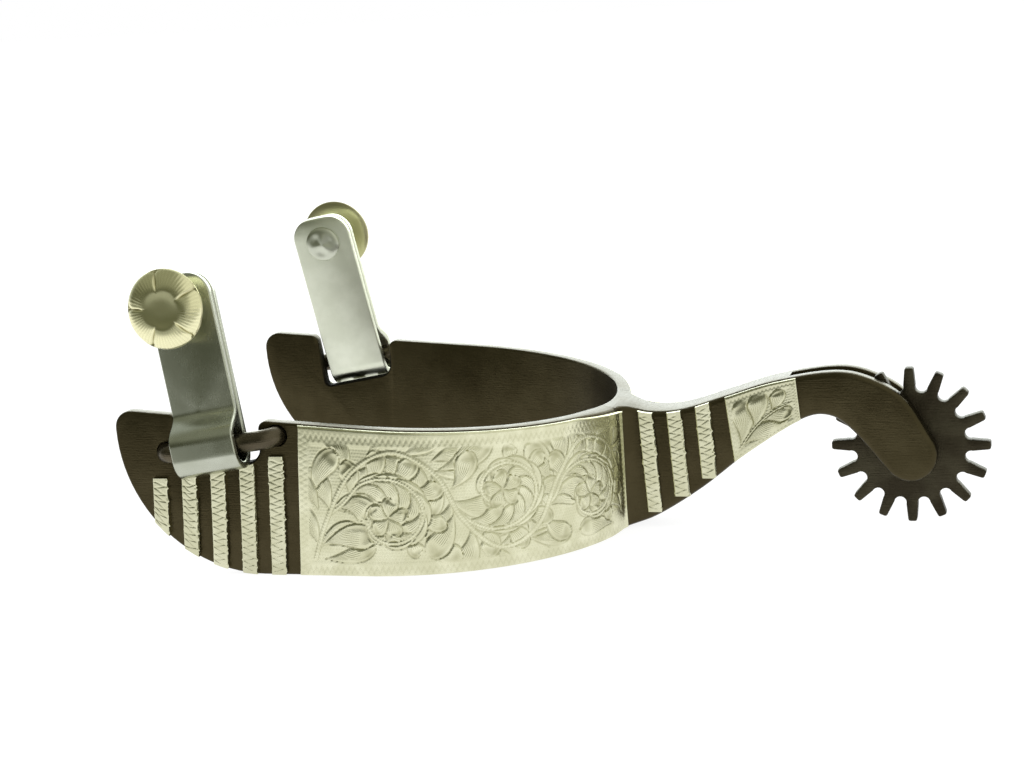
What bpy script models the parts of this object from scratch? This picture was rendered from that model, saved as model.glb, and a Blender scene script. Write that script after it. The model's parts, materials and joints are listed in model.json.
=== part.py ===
"""A western spur: heel band and drop shank in one forging, a rowel, and two swinging hangers with buttons.

Metres, +Z up. The spur stands on the flat lower edge of its band: +X runs from the arms to the rowel,
and the wearer's left side is -Y. The origin is below the middle of the spur.
"""

import math

import bmesh
import bpy
from mathutils import Matrix, Vector

# Heel band: a U of flat bar standing on edge
HEEL_INSIDE_X = 0.0080
HEEL_DEPTH = 0.042
HALF_WIDTH = 0.040
BAND_THICKNESS = 0.003
ARM_END_X = -0.0858
ARM_NOSE_RADIUS = 0.030
ARM_CORNER_RADIUS = 0.0035
ARM_HEIGHT = 0.0342
HEEL_HEIGHT = 0.0271

# Shank: thickness across, and the fork that holds the rowel
SHANK_THICKNESS = 0.0096
SHANK_FILLET = 0.0045
ROWEL_SLOT = 0.0034
CHEEK_RADIUS = 0.0055
CHEEK_CENTRE = (0.0699, 0.0153)

# Rowel
ROWEL_X = 0.0698
ROWEL_Z = 0.0167
ROWEL_RADIUS = 0.016
ROWEL_THICKNESS = 0.0024
ROWEL_TEETH = 16
TOOTH_TIP_WIDTH = 0.0018
TOOTH_ROOT_WIDTH = 0.0024
TOOTH_ROOT_RADIUS = 0.0124
TOOTH_TIP_ROUND = 0.0004
PIN_RADIUS = 0.0022

# Hinge rods, in holes either side of a notch in each arm
ROD_RADIUS = 0.002
ROD_BEND = 0.0028
FRONT_HOLE = (-0.0748, 0.0254)
REAR_HOLE = (-0.0508, 0.0289)
NOTCH_FRONT_X = -0.0711
NOTCH_REAR_X = -0.0545
NOTCH_FRONT_LEAN = 0.0016
NOTCH_BELOW_ROD = (0.0053, 0.00475)
NOTCH_TOP_ROUND = 0.0017
NOTCH_FLOOR_ROUND = (0.0012, 0.0028)

# Hangers, folded from strip, measured from the rod's axis
STRIP_WIDTH = 0.0138
STRIP_THICKNESS = 0.0015
LEAF_GAP = 0.00025
EYE_CLEARANCE = 0.0004
EYE_DROP = 0.0014
JOGGLE_START = 0.0024
JOGGLE_END = 0.0078
HANGER_TOP = 0.0352
HANGER_CORNER = 0.0048
BUTTON_HEIGHT = 0.029

# Where each loose hanger stands at rest: its place along the rod, how far it leans in over the boot, and
# how far it has slewed forward in the clearance round the rod
HANGER_X = {"left": -0.0644, "right": -0.0639}
REST_LEAN = math.radians(4.5)
REST_SLEW = math.radians(1.6)

# Buttons and their rivets
BUTTON_RADIUS = 0.008
BUTTON_THICKNESS = 0.0036
POST_RADIUS = 0.0025
NECK_RADIUS = 0.0032
NECK_LENGTH = 0.0054
RIVET_RADIUS = 0.004
RIVET_THICKNESS = 0.0012

# Nickel silver overlays
OVERLAY_THICKNESS = 0.0007
OVERLAY_MARGIN = 0.0002
PLATE_FRONT_X = -0.0480
PLATE_REAR_X = 0.0110
PLATE_LEAN = math.radians(3.6)
ARM_BARS = 5
ARM_BAR_WIDTH = 0.0031
ARM_BAR_PITCH = 0.0063
ARM_BAR_LAST_X = -0.0526
ARM_BAR_LAST_TOP = 0.0247
ARM_BAR_TOP_STEP = 0.00115
ARM_BAR_LEAN = math.radians(3.1)
SHANK_BAR_FEET = (0.0034, 0.0068, 0.0107)
SHANK_BAR_WIDTH = 0.0030
SHANK_BAR_FIRST_X = 0.0172
SHANK_BAR_PITCH = 0.0061
SHANK_BAR_LEAN = math.radians(-3.2)
SHANK_PLATE_FRONT_X = (0.0358, 0.0320)
SHANK_PLATE_REAR_X = (0.0503, 0.0472)

# Clearance between pieces that touch, and running clearance of the pins
GAP = 0.0003

HALF_SHANK = SHANK_THICKNESS / 2
HEEL_CENTRE_X = HEEL_INSIDE_X - HEEL_DEPTH
OUTER_DEPTH = HEEL_DEPTH + BAND_THICKNESS
OUTER_WIDTH = HALF_WIDTH + BAND_THICKNESS
HEEL_OUTSIDE_X = HEEL_CENTRE_X + OUTER_DEPTH
TOP_SLOPE = (HEEL_HEIGHT - ARM_HEIGHT) / (HEEL_INSIDE_X - ARM_END_X)
ROD_Y = OUTER_WIDTH + GAP + ROD_RADIUS
ROD_TILT = math.atan2(REAR_HOLE[1] - FRONT_HOLE[1], REAR_HOLE[0] - FRONT_HOLE[0])
CUT_DEPTH = 0.2
SIDES = {"left": -1, "right": 1}


def band_top(x):
    """Height of the band's upper edge, which falls towards the heel."""
    return ARM_HEIGHT + TOP_SLOPE * (x - ARM_END_X)


def rod_height(x):
    """Height of a hinge rod's axis above the band's lower edge."""
    return FRONT_HOLE[1] + math.tan(ROD_TILT) * (x - FRONT_HOLE[0])


def arc(centre, radius, start, end, steps):
    """Points on a circle from one angle to another, in degrees."""
    angles = [math.radians(start + (end - start) * i / steps) for i in range(steps + 1)]
    return [(centre[0] + radius * math.cos(a), centre[1] + radius * math.sin(a)) for a in angles]


def rounded(corners, steps=5):
    """A run of corners (x, y, radius) with each inner corner rounded by an arc."""
    points = []
    for i, (x, y, radius) in enumerate(corners):
        if radius == 0 or i in (0, len(corners) - 1):
            points.append((x, y))
            continue
        corner = Vector((x, y))
        back = (Vector(corners[i - 1][:2]) - corner).normalized()
        ahead = (Vector(corners[i + 1][:2]) - corner).normalized()
        half = back.angle(ahead) / 2
        start = corner + back * radius / math.tan(half)
        centre = corner + (back + ahead).normalized() * radius / math.sin(half)
        sweep = math.pi - 2 * half
        turn = sweep if back.x * ahead.y - back.y * ahead.x < 0 else -sweep
        count = max(steps, round(sweep * radius / 0.002))
        for k in range(count + 1):
            spoke = (start - centre).copy()
            spoke.rotate(Matrix.Rotation(turn * k / count, 2))
            points.append(tuple(centre + spoke))
    return points


def smooth(points, steps=5):
    """A smooth run through the given points (Catmull-Rom)."""
    padded = [points[0], *points, points[-1]]
    run = []
    for a, b, c, d in zip(padded, padded[1:], padded[2:], padded[3:]):
        for i in range(steps):
            t = i / steps
            weights = (
                (-t + 2 * t * t - t**3) / 2,
                (2 - 5 * t * t + 3 * t**3) / 2,
                (t + 4 * t * t - 3 * t**3) / 2,
                (t**3 - t * t) / 2,
            )
            run.append(tuple(sum(w * p[k] for w, p in zip(weights, (a, b, c, d))) for k in range(2)))
    return run + [points[-1]]


def inset(points, distance):
    """A closed outline, counterclockwise, moved inwards."""
    moved = []
    for i, point in enumerate(points):
        along = Vector(points[(i + 1) % len(points)]) - Vector(points[i - 1])
        normal = Vector((-along.y, along.x)).normalized()
        moved.append(tuple(Vector(point) + normal * distance))
    return moved


def material(name, colour, roughness, metallic):
    made = bpy.data.materials.new(name)
    made.use_nodes = True
    shader = made.node_tree.nodes["Principled BSDF"]
    shader.inputs["Base Color"].default_value = (*colour, 1)
    shader.inputs["Roughness"].default_value = roughness
    shader.inputs["Metallic"].default_value = metallic
    made.diffuse_color = (*colour, 1)
    return made


def finish(name, mesh, home, finish_material=None, parent=None):
    """Put a mesh in the scene as a named piece, shaded smooth where it is round."""
    piece = bpy.data.objects.new(name, mesh)
    home.objects.link(piece)
    piece.parent = parent
    if finish_material:
        mesh.materials.append(finish_material)
    mesh.shade_smooth()
    mesh.set_sharp_from_angle(angle=math.radians(35))
    return piece


def plate(name, outlines, low, high, turn=None):
    """A flat outline, with any holes, filled and extruded from low to high, then turned into place."""
    curve = bpy.data.curves.new(name, "CURVE")
    curve.dimensions = "2D"
    curve.fill_mode = "BOTH"
    curve.extrude = (high - low) / 2
    for points in outlines:
        spline = curve.splines.new("POLY")
        spline.points.add(len(points) - 1)
        for target, point in zip(spline.points, points):
            target.co = (*point, 0, 1)
        spline.use_cyclic_u = True
    return curve_mesh(name, curve, Matrix.Translation((0, 0, (low + high) / 2)), turn)


def curve_mesh(name, curve, place, turn=None):
    """The closed mesh of a curve, its caps welded on and its faces pointing out."""
    holder = bpy.data.objects.new(name, curve)
    bpy.context.scene.collection.objects.link(holder)
    bpy.context.view_layer.update()
    evaluated = holder.evaluated_get(bpy.context.evaluated_depsgraph_get())
    mesh = bpy.data.meshes.new_from_object(evaluated)
    bpy.data.objects.remove(holder)
    bpy.data.curves.remove(curve)
    shape = bmesh.new()
    shape.from_mesh(mesh)
    bmesh.ops.remove_doubles(shape, verts=shape.verts, dist=1e-6)
    bmesh.ops.transform(shape, matrix=(turn or Matrix.Identity(4)) @ place, verts=shape.verts)
    bmesh.ops.recalc_face_normals(shape, faces=shape.faces)
    shape.to_mesh(mesh)
    shape.free()
    mesh.materials.clear()
    mesh.name = name
    return mesh


def side_turn(y=0.0):
    """Stands an outline drawn in (x, z) upright, so that its thickness runs across the spur."""
    return Matrix.Translation((0, y, 0)) @ Matrix.Rotation(math.pi / 2, 4, "X")


def cylinder(name, radius, length, turn, segments=32):
    shape = bmesh.new()
    bmesh.ops.create_cone(
        shape, cap_ends=True, segments=segments, radius1=radius, radius2=radius, depth=length, matrix=turn
    )
    mesh = bpy.data.meshes.new(name)
    shape.to_mesh(mesh)
    shape.free()
    return mesh


def turned(name, profile, home, finish_material, parent, turn, steps=32):
    """A profile of (radius, height), drawn down its outer side, turned about its axis by a Screw modifier."""
    shape = bmesh.new()
    verts = [shape.verts.new((radius, 0, height)) for radius, height in profile]
    for a, b in zip(verts, verts[1:]):
        shape.edges.new((a, b))
    mesh = bpy.data.meshes.new(name)
    shape.to_mesh(mesh)
    shape.free()
    piece = finish(name, mesh, home, finish_material, parent)
    piece.matrix_local = turn
    screw = piece.modifiers.new("turning", "SCREW")
    screw.steps = steps
    screw.render_steps = steps
    screw.use_merge_vertices = True
    screw.merge_threshold = 1e-6
    screw.use_normal_calculate = True
    return piece


def cut(piece, cutter, operation="DIFFERENCE"):
    boolean = piece.modifiers.new(cutter.name, "BOOLEAN")
    boolean.operation = operation
    boolean.solver = "EXACT"
    boolean.object = cutter


def cutter_from(mesh, cutters):
    cutter = finish(mesh.name, mesh, cutters)
    cutter.hide_render = True
    cutter.display_type = "WIRE"
    return cutter


def axis_empty(name, home, location, tilt=0.0, lean=0.0):
    empty = bpy.data.objects.new(name, None)
    home.objects.link(empty)
    empty.empty_display_size = 0.005
    empty.location = location
    empty.rotation_euler = (lean, -tilt, 0)
    return empty


def outer_side(offset):
    """Plan of the spur's +Y side, offset outwards: straight arm, round heel, fillet, then shank."""
    depth = OUTER_DEPTH + SHANK_FILLET
    width = OUTER_WIDTH + SHANK_FILLET
    fillet_y = HALF_SHANK + SHANK_FILLET
    join = math.degrees(math.asin(fillet_y / width))
    fillet_x = HEEL_CENTRE_X + depth * math.cos(math.radians(join))
    heel = arc((0, 0), 1, 90, join, 26)
    heel = [(HEEL_CENTRE_X + (OUTER_DEPTH + offset) * c, (OUTER_WIDTH + offset) * s) for c, s in heel]
    fillet = arc((fillet_x, fillet_y), SHANK_FILLET - offset, 180 + join, 270, 6)
    return heel + fillet


def spur_outline():
    """Side view of the whole spur, counterclockwise in (x, z)."""
    notch_ends = zip((NOTCH_FRONT_X, NOTCH_REAR_X), NOTCH_BELOW_ROD)
    notch_floor = [(x, rod_height(x) - below) for x, below in notch_ends]
    lower = smooth(
        [
            (0.0090, 0.0), (0.0162, 0.0018), (0.0266, 0.0080), (0.0371, 0.0160), (0.0471, 0.0223),
            (0.0530, 0.0238), (0.0581, 0.0209),
        ]
    )
    cheek = arc(CHEEK_CENTRE, CHEEK_RADIUS, 226, 372, 14)
    upper = smooth(
        [
            cheek[-1], (0.0692, 0.0269), (0.0624, 0.0312), (0.0549, 0.0327), (0.0426, 0.0309),
            (0.0326, 0.0279), (0.0235, 0.0252), (0.0165, 0.0248), (HEEL_OUTSIDE_X, 0.0262),
            (HEEL_INSIDE_X - BAND_THICKNESS, band_top(HEEL_INSIDE_X - BAND_THICKNESS)),
        ]
    )
    arm = rounded(
        [
            (*upper[-1], 0),
            (NOTCH_REAR_X, band_top(NOTCH_REAR_X), NOTCH_TOP_ROUND),
            (*notch_floor[1], NOTCH_FLOOR_ROUND[1]),
            (*notch_floor[0], NOTCH_FLOOR_ROUND[0]),
            (NOTCH_FRONT_X - NOTCH_FRONT_LEAN, band_top(NOTCH_FRONT_X), NOTCH_TOP_ROUND),
            (ARM_END_X, band_top(ARM_END_X), ARM_CORNER_RADIUS),
            (ARM_END_X, 0, ARM_NOSE_RADIUS),
            (*lower[0], 0),
        ]
    )
    return lower + cheek + upper[1:] + arm[1:-1]


def build_body(parts, cutters, steel, outline):
    """Heel band and shank: the plan, cut to the side view, then slotted for the rowel and drilled."""
    outer = [(ARM_END_X - GAP, OUTER_WIDTH), *outer_side(0), (CHEEK_CENTRE[0] + CHEEK_RADIUS + GAP, HALF_SHANK)]
    inner = arc((0, 0), 1, -90, 90, 40)
    inner = [(HEEL_CENTRE_X + HEEL_DEPTH * c, HALF_WIDTH * s) for c, s in inner]
    inner = [(ARM_END_X - GAP, -HALF_WIDTH), *inner, (ARM_END_X - GAP, HALF_WIDTH)]
    plan = outer + [(x, -y) for x, y in reversed(outer)] + inner
    body = finish("spur_body", plate("spur_body", [plan], -GAP, ARM_HEIGHT + GAP), parts, steel)
    cut(body, cutter_from(plate("side_view", [outline], -CUT_DEPTH, CUT_DEPTH, side_turn()), cutters), "INTERSECT")
    slot = [(0.0440, 0.036), (0.0505, 0.020), (0.090, -0.010), (0.090, 0.036)]
    slot_mesh = plate("rowel_slot", [slot], -ROWEL_SLOT / 2, ROWEL_SLOT / 2, side_turn())
    cut(body, cutter_from(slot_mesh, cutters))
    holes = {"pin_hole": (ROWEL_X, ROWEL_Z, PIN_RADIUS + GAP)}
    holes["front_rod_holes"] = (*FRONT_HOLE, ROD_RADIUS + GAP)
    holes["rear_rod_holes"] = (*REAR_HOLE, ROD_RADIUS + GAP)
    for name, (x, z, radius) in holes.items():
        turn = Matrix.Translation((x, 0, z)) @ Matrix.Rotation(math.pi / 2, 4, "X")
        cut(body, cutter_from(cylinder(name, radius, CUT_DEPTH, turn), cutters))


def build_rowel(parts, steel):
    """Flat wheel of blunt teeth with round gaps between them, on a pin flush with the cheeks."""
    centre = axis_empty("rowel_axis", parts, (ROWEL_X, 0, ROWEL_Z))
    pitch = 360 / ROWEL_TEETH
    root_angle = math.degrees(math.asin(TOOTH_ROOT_WIDTH / 2 / TOOTH_ROOT_RADIUS))
    gap_radius = TOOTH_ROOT_RADIUS * math.sin(math.radians(pitch / 2 - root_angle))
    gap_centre = TOOTH_ROOT_RADIUS * math.cos(math.radians(pitch / 2 - root_angle))
    tip = TOOTH_TIP_WIDTH / 2
    tooth = rounded(
        [
            (TOOTH_ROOT_RADIUS, -TOOTH_ROOT_WIDTH / 2, 0),
            (ROWEL_RADIUS, -tip, TOOTH_TIP_ROUND),
            (ROWEL_RADIUS, tip, TOOTH_TIP_ROUND),
            (TOOTH_ROOT_RADIUS, TOOTH_ROOT_WIDTH / 2, 0),
        ],
        steps=2,
    )
    gap = arc((gap_centre, 0), gap_radius, 270, 90, 8)[1:-1]
    outline = []
    for k in range(ROWEL_TEETH):
        for run, angle in ((tooth, k * pitch), (gap, (k + 0.5) * pitch)):
            spin = Matrix.Rotation(math.radians(angle), 2)
            outline += [tuple(spin @ Vector(point)) for point in run]
    bore = arc((0, 0), PIN_RADIUS + GAP, 0, 360, 32)[:-1]
    half = ROWEL_THICKNESS / 2
    finish("rowel", plate("rowel", [outline, bore], -half, half, side_turn()), parts, steel, centre)
    turn = Matrix.Translation((ROWEL_X, 0, ROWEL_Z)) @ Matrix.Rotation(math.pi / 2, 4, "X")
    finish("rowel_pin", cylinder("rowel_pin", PIN_RADIUS, SHANK_THICKNESS - GAP, turn), parts, steel)


def build_hinge_rod(parts, side, sign, steel):
    """A bent bar: both ends turned through the arm, with the straight run standing off its outer face."""
    end_y = HALF_WIDTH + GAP
    run = [(*FRONT_HOLE, end_y), (*FRONT_HOLE, ROD_Y), (*REAR_HOLE, ROD_Y), (*REAR_HOLE, end_y)]
    points = []
    for i, corner in enumerate(run):
        here = Vector(corner)
        if i in (0, len(run) - 1):
            points.append(here)
            continue
        before = here + (Vector(run[i - 1]) - here).normalized() * ROD_BEND
        after = here + (Vector(run[i + 1]) - here).normalized() * ROD_BEND
        for k in range(6):
            t = k / 5
            points.append(before * (1 - t) ** 2 + here * 2 * t * (1 - t) + after * t * t)
    curve = bpy.data.curves.new("hinge_rod", "CURVE")
    curve.dimensions = "3D"
    curve.bevel_depth = ROD_RADIUS
    curve.bevel_resolution = 4
    curve.use_fill_caps = True
    spline = curve.splines.new("POLY")
    spline.points.add(len(points) - 1)
    for target, point in zip(spline.points, points):
        target.co = (point.x, sign * point.z, point.y, 1)
    name = side + "_hinge_rod"
    finish(name, curve_mesh(name, curve, Matrix.Identity(4)), parts, steel)


def strip_section():
    """Edge view of the folded strip as (out from the rod's axis, up): leaf, eye, joggle and leaf."""
    eye = ROD_RADIUS + EYE_CLEARANCE + STRIP_THICKNESS / 2
    leaf = STRIP_THICKNESS + LEAF_GAP - eye
    uncut_top = HANGER_TOP + STRIP_THICKNESS
    path = [(-eye, uncut_top), *arc((0, -EYE_DROP), eye, 180, 360, 14)]
    for k in range(11):
        t = k / 10
        ease = t * t * (3 - 2 * t)
        path.append((eye + (leaf - eye) * ease, JOGGLE_START + (JOGGLE_END - JOGGLE_START) * t))
    path.append((leaf, uncut_top))
    sides = ([], [])
    for i, point in enumerate(path):
        along = Vector(path[min(i + 1, len(path) - 1)]) - Vector(path[max(i - 1, 0)])
        normal = Vector((-along.y, along.x)).normalized() * STRIP_THICKNESS / 2
        sides[0].append(tuple(Vector(point) + normal))
        sides[1].append(tuple(Vector(point) - normal))
    return sides[0] + sides[1][::-1]


def build_hanger(parts, cutters, side, sign, stainless, silver):
    """Folded strip on the rod, its leaves closed by a rivet that carries the button."""
    place = (HANGER_X[side], sign * ROD_Y, rod_height(HANGER_X[side]))
    centre = axis_empty(side + "_hanger_rest", parts, place, ROD_TILT + REST_SLEW, sign * REST_LEAN)
    across = Matrix(((0, 0, 1, 0), (sign, 0, 0, 0), (0, 1, 0, 0), (0, 0, 0, 1)))
    half = STRIP_WIDTH / 2
    section = plate(side + "_hanger", [strip_section()], -half - GAP, half + GAP, across)
    hanger = finish(side + "_hanger", section, parts, stainless, centre)
    face = rounded(
        [
            (0, -HANGER_TOP, 0), (half, -HANGER_TOP, 0), (half, HANGER_TOP, HANGER_CORNER),
            (-half, HANGER_TOP, HANGER_CORNER), (-half, -HANGER_TOP, 0), (0, -HANGER_TOP, 0),
        ],
        steps=6,
    )
    trim = cutter_from(plate(side + "_hanger_face", [face[:-1]], -CUT_DEPTH, CUT_DEPTH, side_turn()), cutters)
    trim.parent = centre
    cut(hanger, trim, "INTERSECT")
    up = Matrix.Translation((0, 0, BUTTON_HEIGHT)) @ Matrix.Rotation(math.pi / 2, 4, "X")
    drill = cutter_from(cylinder(side + "_rivet_hole", POST_RADIUS + GAP, CUT_DEPTH, up), cutters)
    drill.parent = centre
    cut(hanger, drill)

    eye = ROD_RADIUS + EYE_CLEARANCE + STRIP_THICKNESS
    back = -eye - GAP
    front = -eye + 2 * STRIP_THICKNESS + LEAF_GAP + GAP
    neck_end = front + NECK_LENGTH
    outward = Matrix.Translation((0, 0, BUTTON_HEIGHT)) @ Matrix.Rotation(-sign * math.pi / 2, 4, "X")
    rivet = [
        (0, neck_end), (NECK_RADIUS, neck_end), (NECK_RADIUS, front), (POST_RADIUS, front), (POST_RADIUS, back),
        (RIVET_RADIUS, back), (RIVET_RADIUS, back - RIVET_THICKNESS / 2),
        (RIVET_RADIUS * 0.7, back - RIVET_THICKNESS), (0, back - RIVET_THICKNESS),
    ]
    turned(side + "_button_post", rivet, parts, stainless, centre, outward)
    base = neck_end + GAP
    rim = base + BUTTON_THICKNESS * 0.4
    dome = [(BUTTON_RADIUS * math.cos(a), rim + (BUTTON_THICKNESS * 0.6) * math.sin(a))
            for a in (math.radians(15 * k) for k in range(5, -1, -1))]
    head = [(0, rim + BUTTON_THICKNESS * 0.5), *dome, (BUTTON_RADIUS * 0.94, base), (0, base)]
    turned(side + "_button_head", head, parts, silver, centre, outward)


def build_overlays(parts, cutters, side, sign, silver, trim):
    """Nickel silver on one side: the band plate, the bars on the arm and shank, and the shank plate."""
    face = outer_side(GAP)
    back = outer_side(GAP + OVERLAY_THICKNESS)
    strip = [(PLATE_FRONT_X - BAND_THICKNESS, OUTER_WIDTH + GAP + OVERLAY_THICKNESS), *back]
    strip += [*reversed(face), (PLATE_FRONT_X - BAND_THICKNESS, OUTER_WIDTH + GAP)]
    strip = [(x, sign * y) for x, y in strip]
    lean = math.tan(PLATE_LEAN) * ARM_HEIGHT
    window = [(PLATE_FRONT_X, 0), (PLATE_REAR_X, 0), (PLATE_REAR_X, ARM_HEIGHT), (PLATE_FRONT_X + lean, ARM_HEIGHT)]
    name = side + "_band_plate"
    panel = finish(name, plate(name, [strip], -GAP, ARM_HEIGHT + GAP), parts, silver)
    window_mesh = plate(name + "_window", [window], -CUT_DEPTH, CUT_DEPTH, side_turn())
    cut(panel, cutter_from(window_mesh, cutters), "INTERSECT")
    cut(panel, trim, "INTERSECT")

    def flat_overlay(name, corners, surface):
        turn = side_turn(sign * (surface + GAP + OVERLAY_THICKNESS / 2))
        half = OVERLAY_THICKNESS / 2
        piece = finish(name, plate(name, [corners], -half, half, turn), parts, silver)
        cut(piece, trim, "INTERSECT")

    def leaning_bar(x, width, lean_angle, low, high):
        shift = math.tan(lean_angle)
        ends = [(x + shift * low, low), (x + shift * high, high)]
        left = [(px - width / 2, pz) for px, pz in ends]
        right = [(px + width / 2, pz) for px, pz in ends]
        return [left[0], right[0], right[1], left[1]]

    for k in range(ARM_BARS):
        steps_back = ARM_BARS - 1 - k
        top = ARM_BAR_LAST_TOP - ARM_BAR_TOP_STEP * steps_back
        x = ARM_BAR_LAST_X - ARM_BAR_PITCH * steps_back
        corners = leaning_bar(x, ARM_BAR_WIDTH, ARM_BAR_LEAN, -GAP, top)
        flat_overlay(f"{side}_arm_bar_{k + 1}", corners, OUTER_WIDTH)
    for k, foot in enumerate(SHANK_BAR_FEET):
        x = SHANK_BAR_FIRST_X + SHANK_BAR_PITCH * k
        corners = leaning_bar(x, SHANK_BAR_WIDTH, SHANK_BAR_LEAN, foot, ARM_HEIGHT)
        flat_overlay(f"{side}_shank_bar_{k + 1}", corners, HALF_SHANK)
    front, rear = SHANK_PLATE_FRONT_X, SHANK_PLATE_REAR_X
    corners = [(front[0], 0), (rear[0], 0), (rear[1], ARM_HEIGHT), (front[1], ARM_HEIGHT)]
    flat_overlay(side + "_shank_plate", corners, HALF_SHANK)


def build_spur():
    for old in list(bpy.data.objects):
        bpy.data.objects.remove(old)
    parts = bpy.data.collections.new("western_spur")
    cutters = bpy.data.collections.new("cutters")
    for group in (parts, cutters):
        bpy.context.scene.collection.children.link(group)
    steel = material("browned_steel", (0.050, 0.038, 0.029), 0.38, 0.9)
    stainless = material("satin_stainless", (0.50, 0.50, 0.48), 0.34, 1.0)
    silver = material("nickel_silver", (0.74, 0.72, 0.60), 0.28, 1.0)
    outline = spur_outline()
    build_body(parts, cutters, steel, outline)
    build_rowel(parts, steel)
    trim_mesh = plate("overlay_edge", [inset(outline, OVERLAY_MARGIN)], -CUT_DEPTH, CUT_DEPTH, side_turn())
    trim = cutter_from(trim_mesh, cutters)
    for side, sign in SIDES.items():
        build_hinge_rod(parts, side, sign, steel)
        build_hanger(parts, cutters, side, sign, stainless, silver)
        build_overlays(parts, cutters, side, sign, silver, trim)


build_spur()
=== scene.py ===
import json
import math

import bmesh
import bpy
import numpy as np
from mathutils import Matrix, Vector


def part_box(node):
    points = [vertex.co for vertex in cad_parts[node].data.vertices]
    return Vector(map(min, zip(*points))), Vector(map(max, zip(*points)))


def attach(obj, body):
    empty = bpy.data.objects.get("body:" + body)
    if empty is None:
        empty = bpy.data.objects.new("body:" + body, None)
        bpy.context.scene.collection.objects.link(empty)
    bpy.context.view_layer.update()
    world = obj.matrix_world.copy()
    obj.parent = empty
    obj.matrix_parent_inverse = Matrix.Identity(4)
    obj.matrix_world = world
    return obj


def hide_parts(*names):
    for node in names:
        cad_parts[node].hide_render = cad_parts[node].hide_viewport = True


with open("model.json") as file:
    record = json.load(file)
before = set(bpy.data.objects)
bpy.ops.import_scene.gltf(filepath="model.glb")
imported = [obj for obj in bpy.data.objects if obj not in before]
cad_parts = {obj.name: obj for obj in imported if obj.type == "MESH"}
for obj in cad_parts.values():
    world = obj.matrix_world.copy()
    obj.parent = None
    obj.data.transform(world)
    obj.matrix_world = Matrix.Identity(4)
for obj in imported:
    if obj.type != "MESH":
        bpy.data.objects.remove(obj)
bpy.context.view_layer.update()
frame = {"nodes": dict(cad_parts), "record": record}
scene = bpy.context.scene
scene.view_settings.view_transform = "Standard"

# Camera
# The photograph is taken from the wearer's left, a little behind the shank and just above the band,
# with a longish lens on a picture 1024 pixels wide.
PICTURE_WIDTH = 1024
FOCAL_PIXELS = 2200
lens = bpy.data.cameras.new("photo_lens")
lens.sensor_width = 36
lens.lens = lens.sensor_width * FOCAL_PIXELS / PICTURE_WIDTH
lens.clip_start = 0.01
camera = bpy.data.objects.new("camera", lens)
camera.location = (0.1127, -0.4407, 0.1247)
camera.rotation_euler = [math.radians(angle) for angle in (78.28, 3.65, 15.26)]
scene.collection.objects.link(camera)
scene.camera = camera


# Floor and studio
# A white table top with a bright backdrop behind it and a dim room behind the camera, which is what the
# polished metal shows. The two classes below let shaders be written as sums.
class Value:
    """A shader socket that can stand in a Python sum."""

    def __init__(self, finish, socket):
        self.finish = finish
        self.socket = socket

    def _math(self, operation, first, second):
        return self.finish.node("Math", {"operation": operation}, {0: first, 1: second})

    def __add__(self, other):
        return self._math("ADD", self, other)

    def __sub__(self, other):
        return self._math("SUBTRACT", self, other)

    def __rsub__(self, other):
        return self._math("SUBTRACT", other, self)

    def __mul__(self, other):
        return self._math("MULTIPLY", self, other)

    __radd__ = __add__
    __rmul__ = __mul__


class Finish:
    """A node tree that is filled by expressions on its sockets."""

    def __init__(self, owner):
        owner.use_nodes = True
        self.owner = owner
        self.tree = owner.node_tree
        self.tree.nodes.clear()

    def node(self, kind, settings=None, inputs=None, output=0):
        made = self.tree.nodes.new("ShaderNode" + kind)
        for name, value in (settings or {}).items():
            setattr(made, name, value)
        for name, value in (inputs or {}).items():
            if isinstance(value, Value):
                self.tree.links.new(value.socket, made.inputs[name])
            else:
                made.inputs[name].default_value = value
        return Value(self, made.outputs[output]) if made.outputs else None

    def steps(self, value, low, high):
        """0 below low, 1 above high, smooth between."""
        limits = {"Value": value, "From Min": low, "From Max": high}
        return self.node("MapRange", {"interpolation_type": "SMOOTHSTEP"}, limits)

    def mix(self, factor, first, second):
        """Blend of two colours."""
        return self.node("Mix", {"data_type": "RGBA"}, {0: factor, 6: first, 7: second}, output=2)

    def ray(self, name):
        """1 on rays of the named kind, otherwise 0."""
        return self.node("LightPath", output=name)

    def axis(self, place, number):
        """One of the three coordinates of a place or a direction."""
        return self.node("SeparateXYZ", None, {0: place}, output=number)

    def on_points(self, name):
        """A value that the mesh keeps on its points."""
        return self.node("Attribute", {"attribute_name": name}, output=2)

    def noise(self, scale, detail=4.0, stretch=(1, 1, 1), turn=(0, 0, 0)):
        """Noise on object coordinates, squeezed along the axes for grain and brushing."""
        place = self.node("TexCoord", output=3)
        place = self.node("Mapping", None, {"Vector": place, "Scale": stretch, "Rotation": turn})
        return self.node("TexNoise", None, {"Vector": place, "Scale": scale, "Detail": detail})

    def metal(self, colour, metallic, roughness, relief, strength, depth, brushing=0.0):
        """Finishes the tree as a metal with a fine relief, and gives back the material."""
        bump = self.node("Bump", None, {"Height": relief, "Strength": strength, "Distance": depth})
        sockets = {"Base Color": colour, "Metallic": metallic, "Roughness": roughness, "Normal": bump}
        sockets["Anisotropic"] = brushing
        self.node("OutputMaterial", None, {"Surface": self.node("BsdfPrincipled", None, sockets)})
        return self.owner


def rgba(red, green, blue):
    return (red, green, blue, 1.0)


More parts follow.
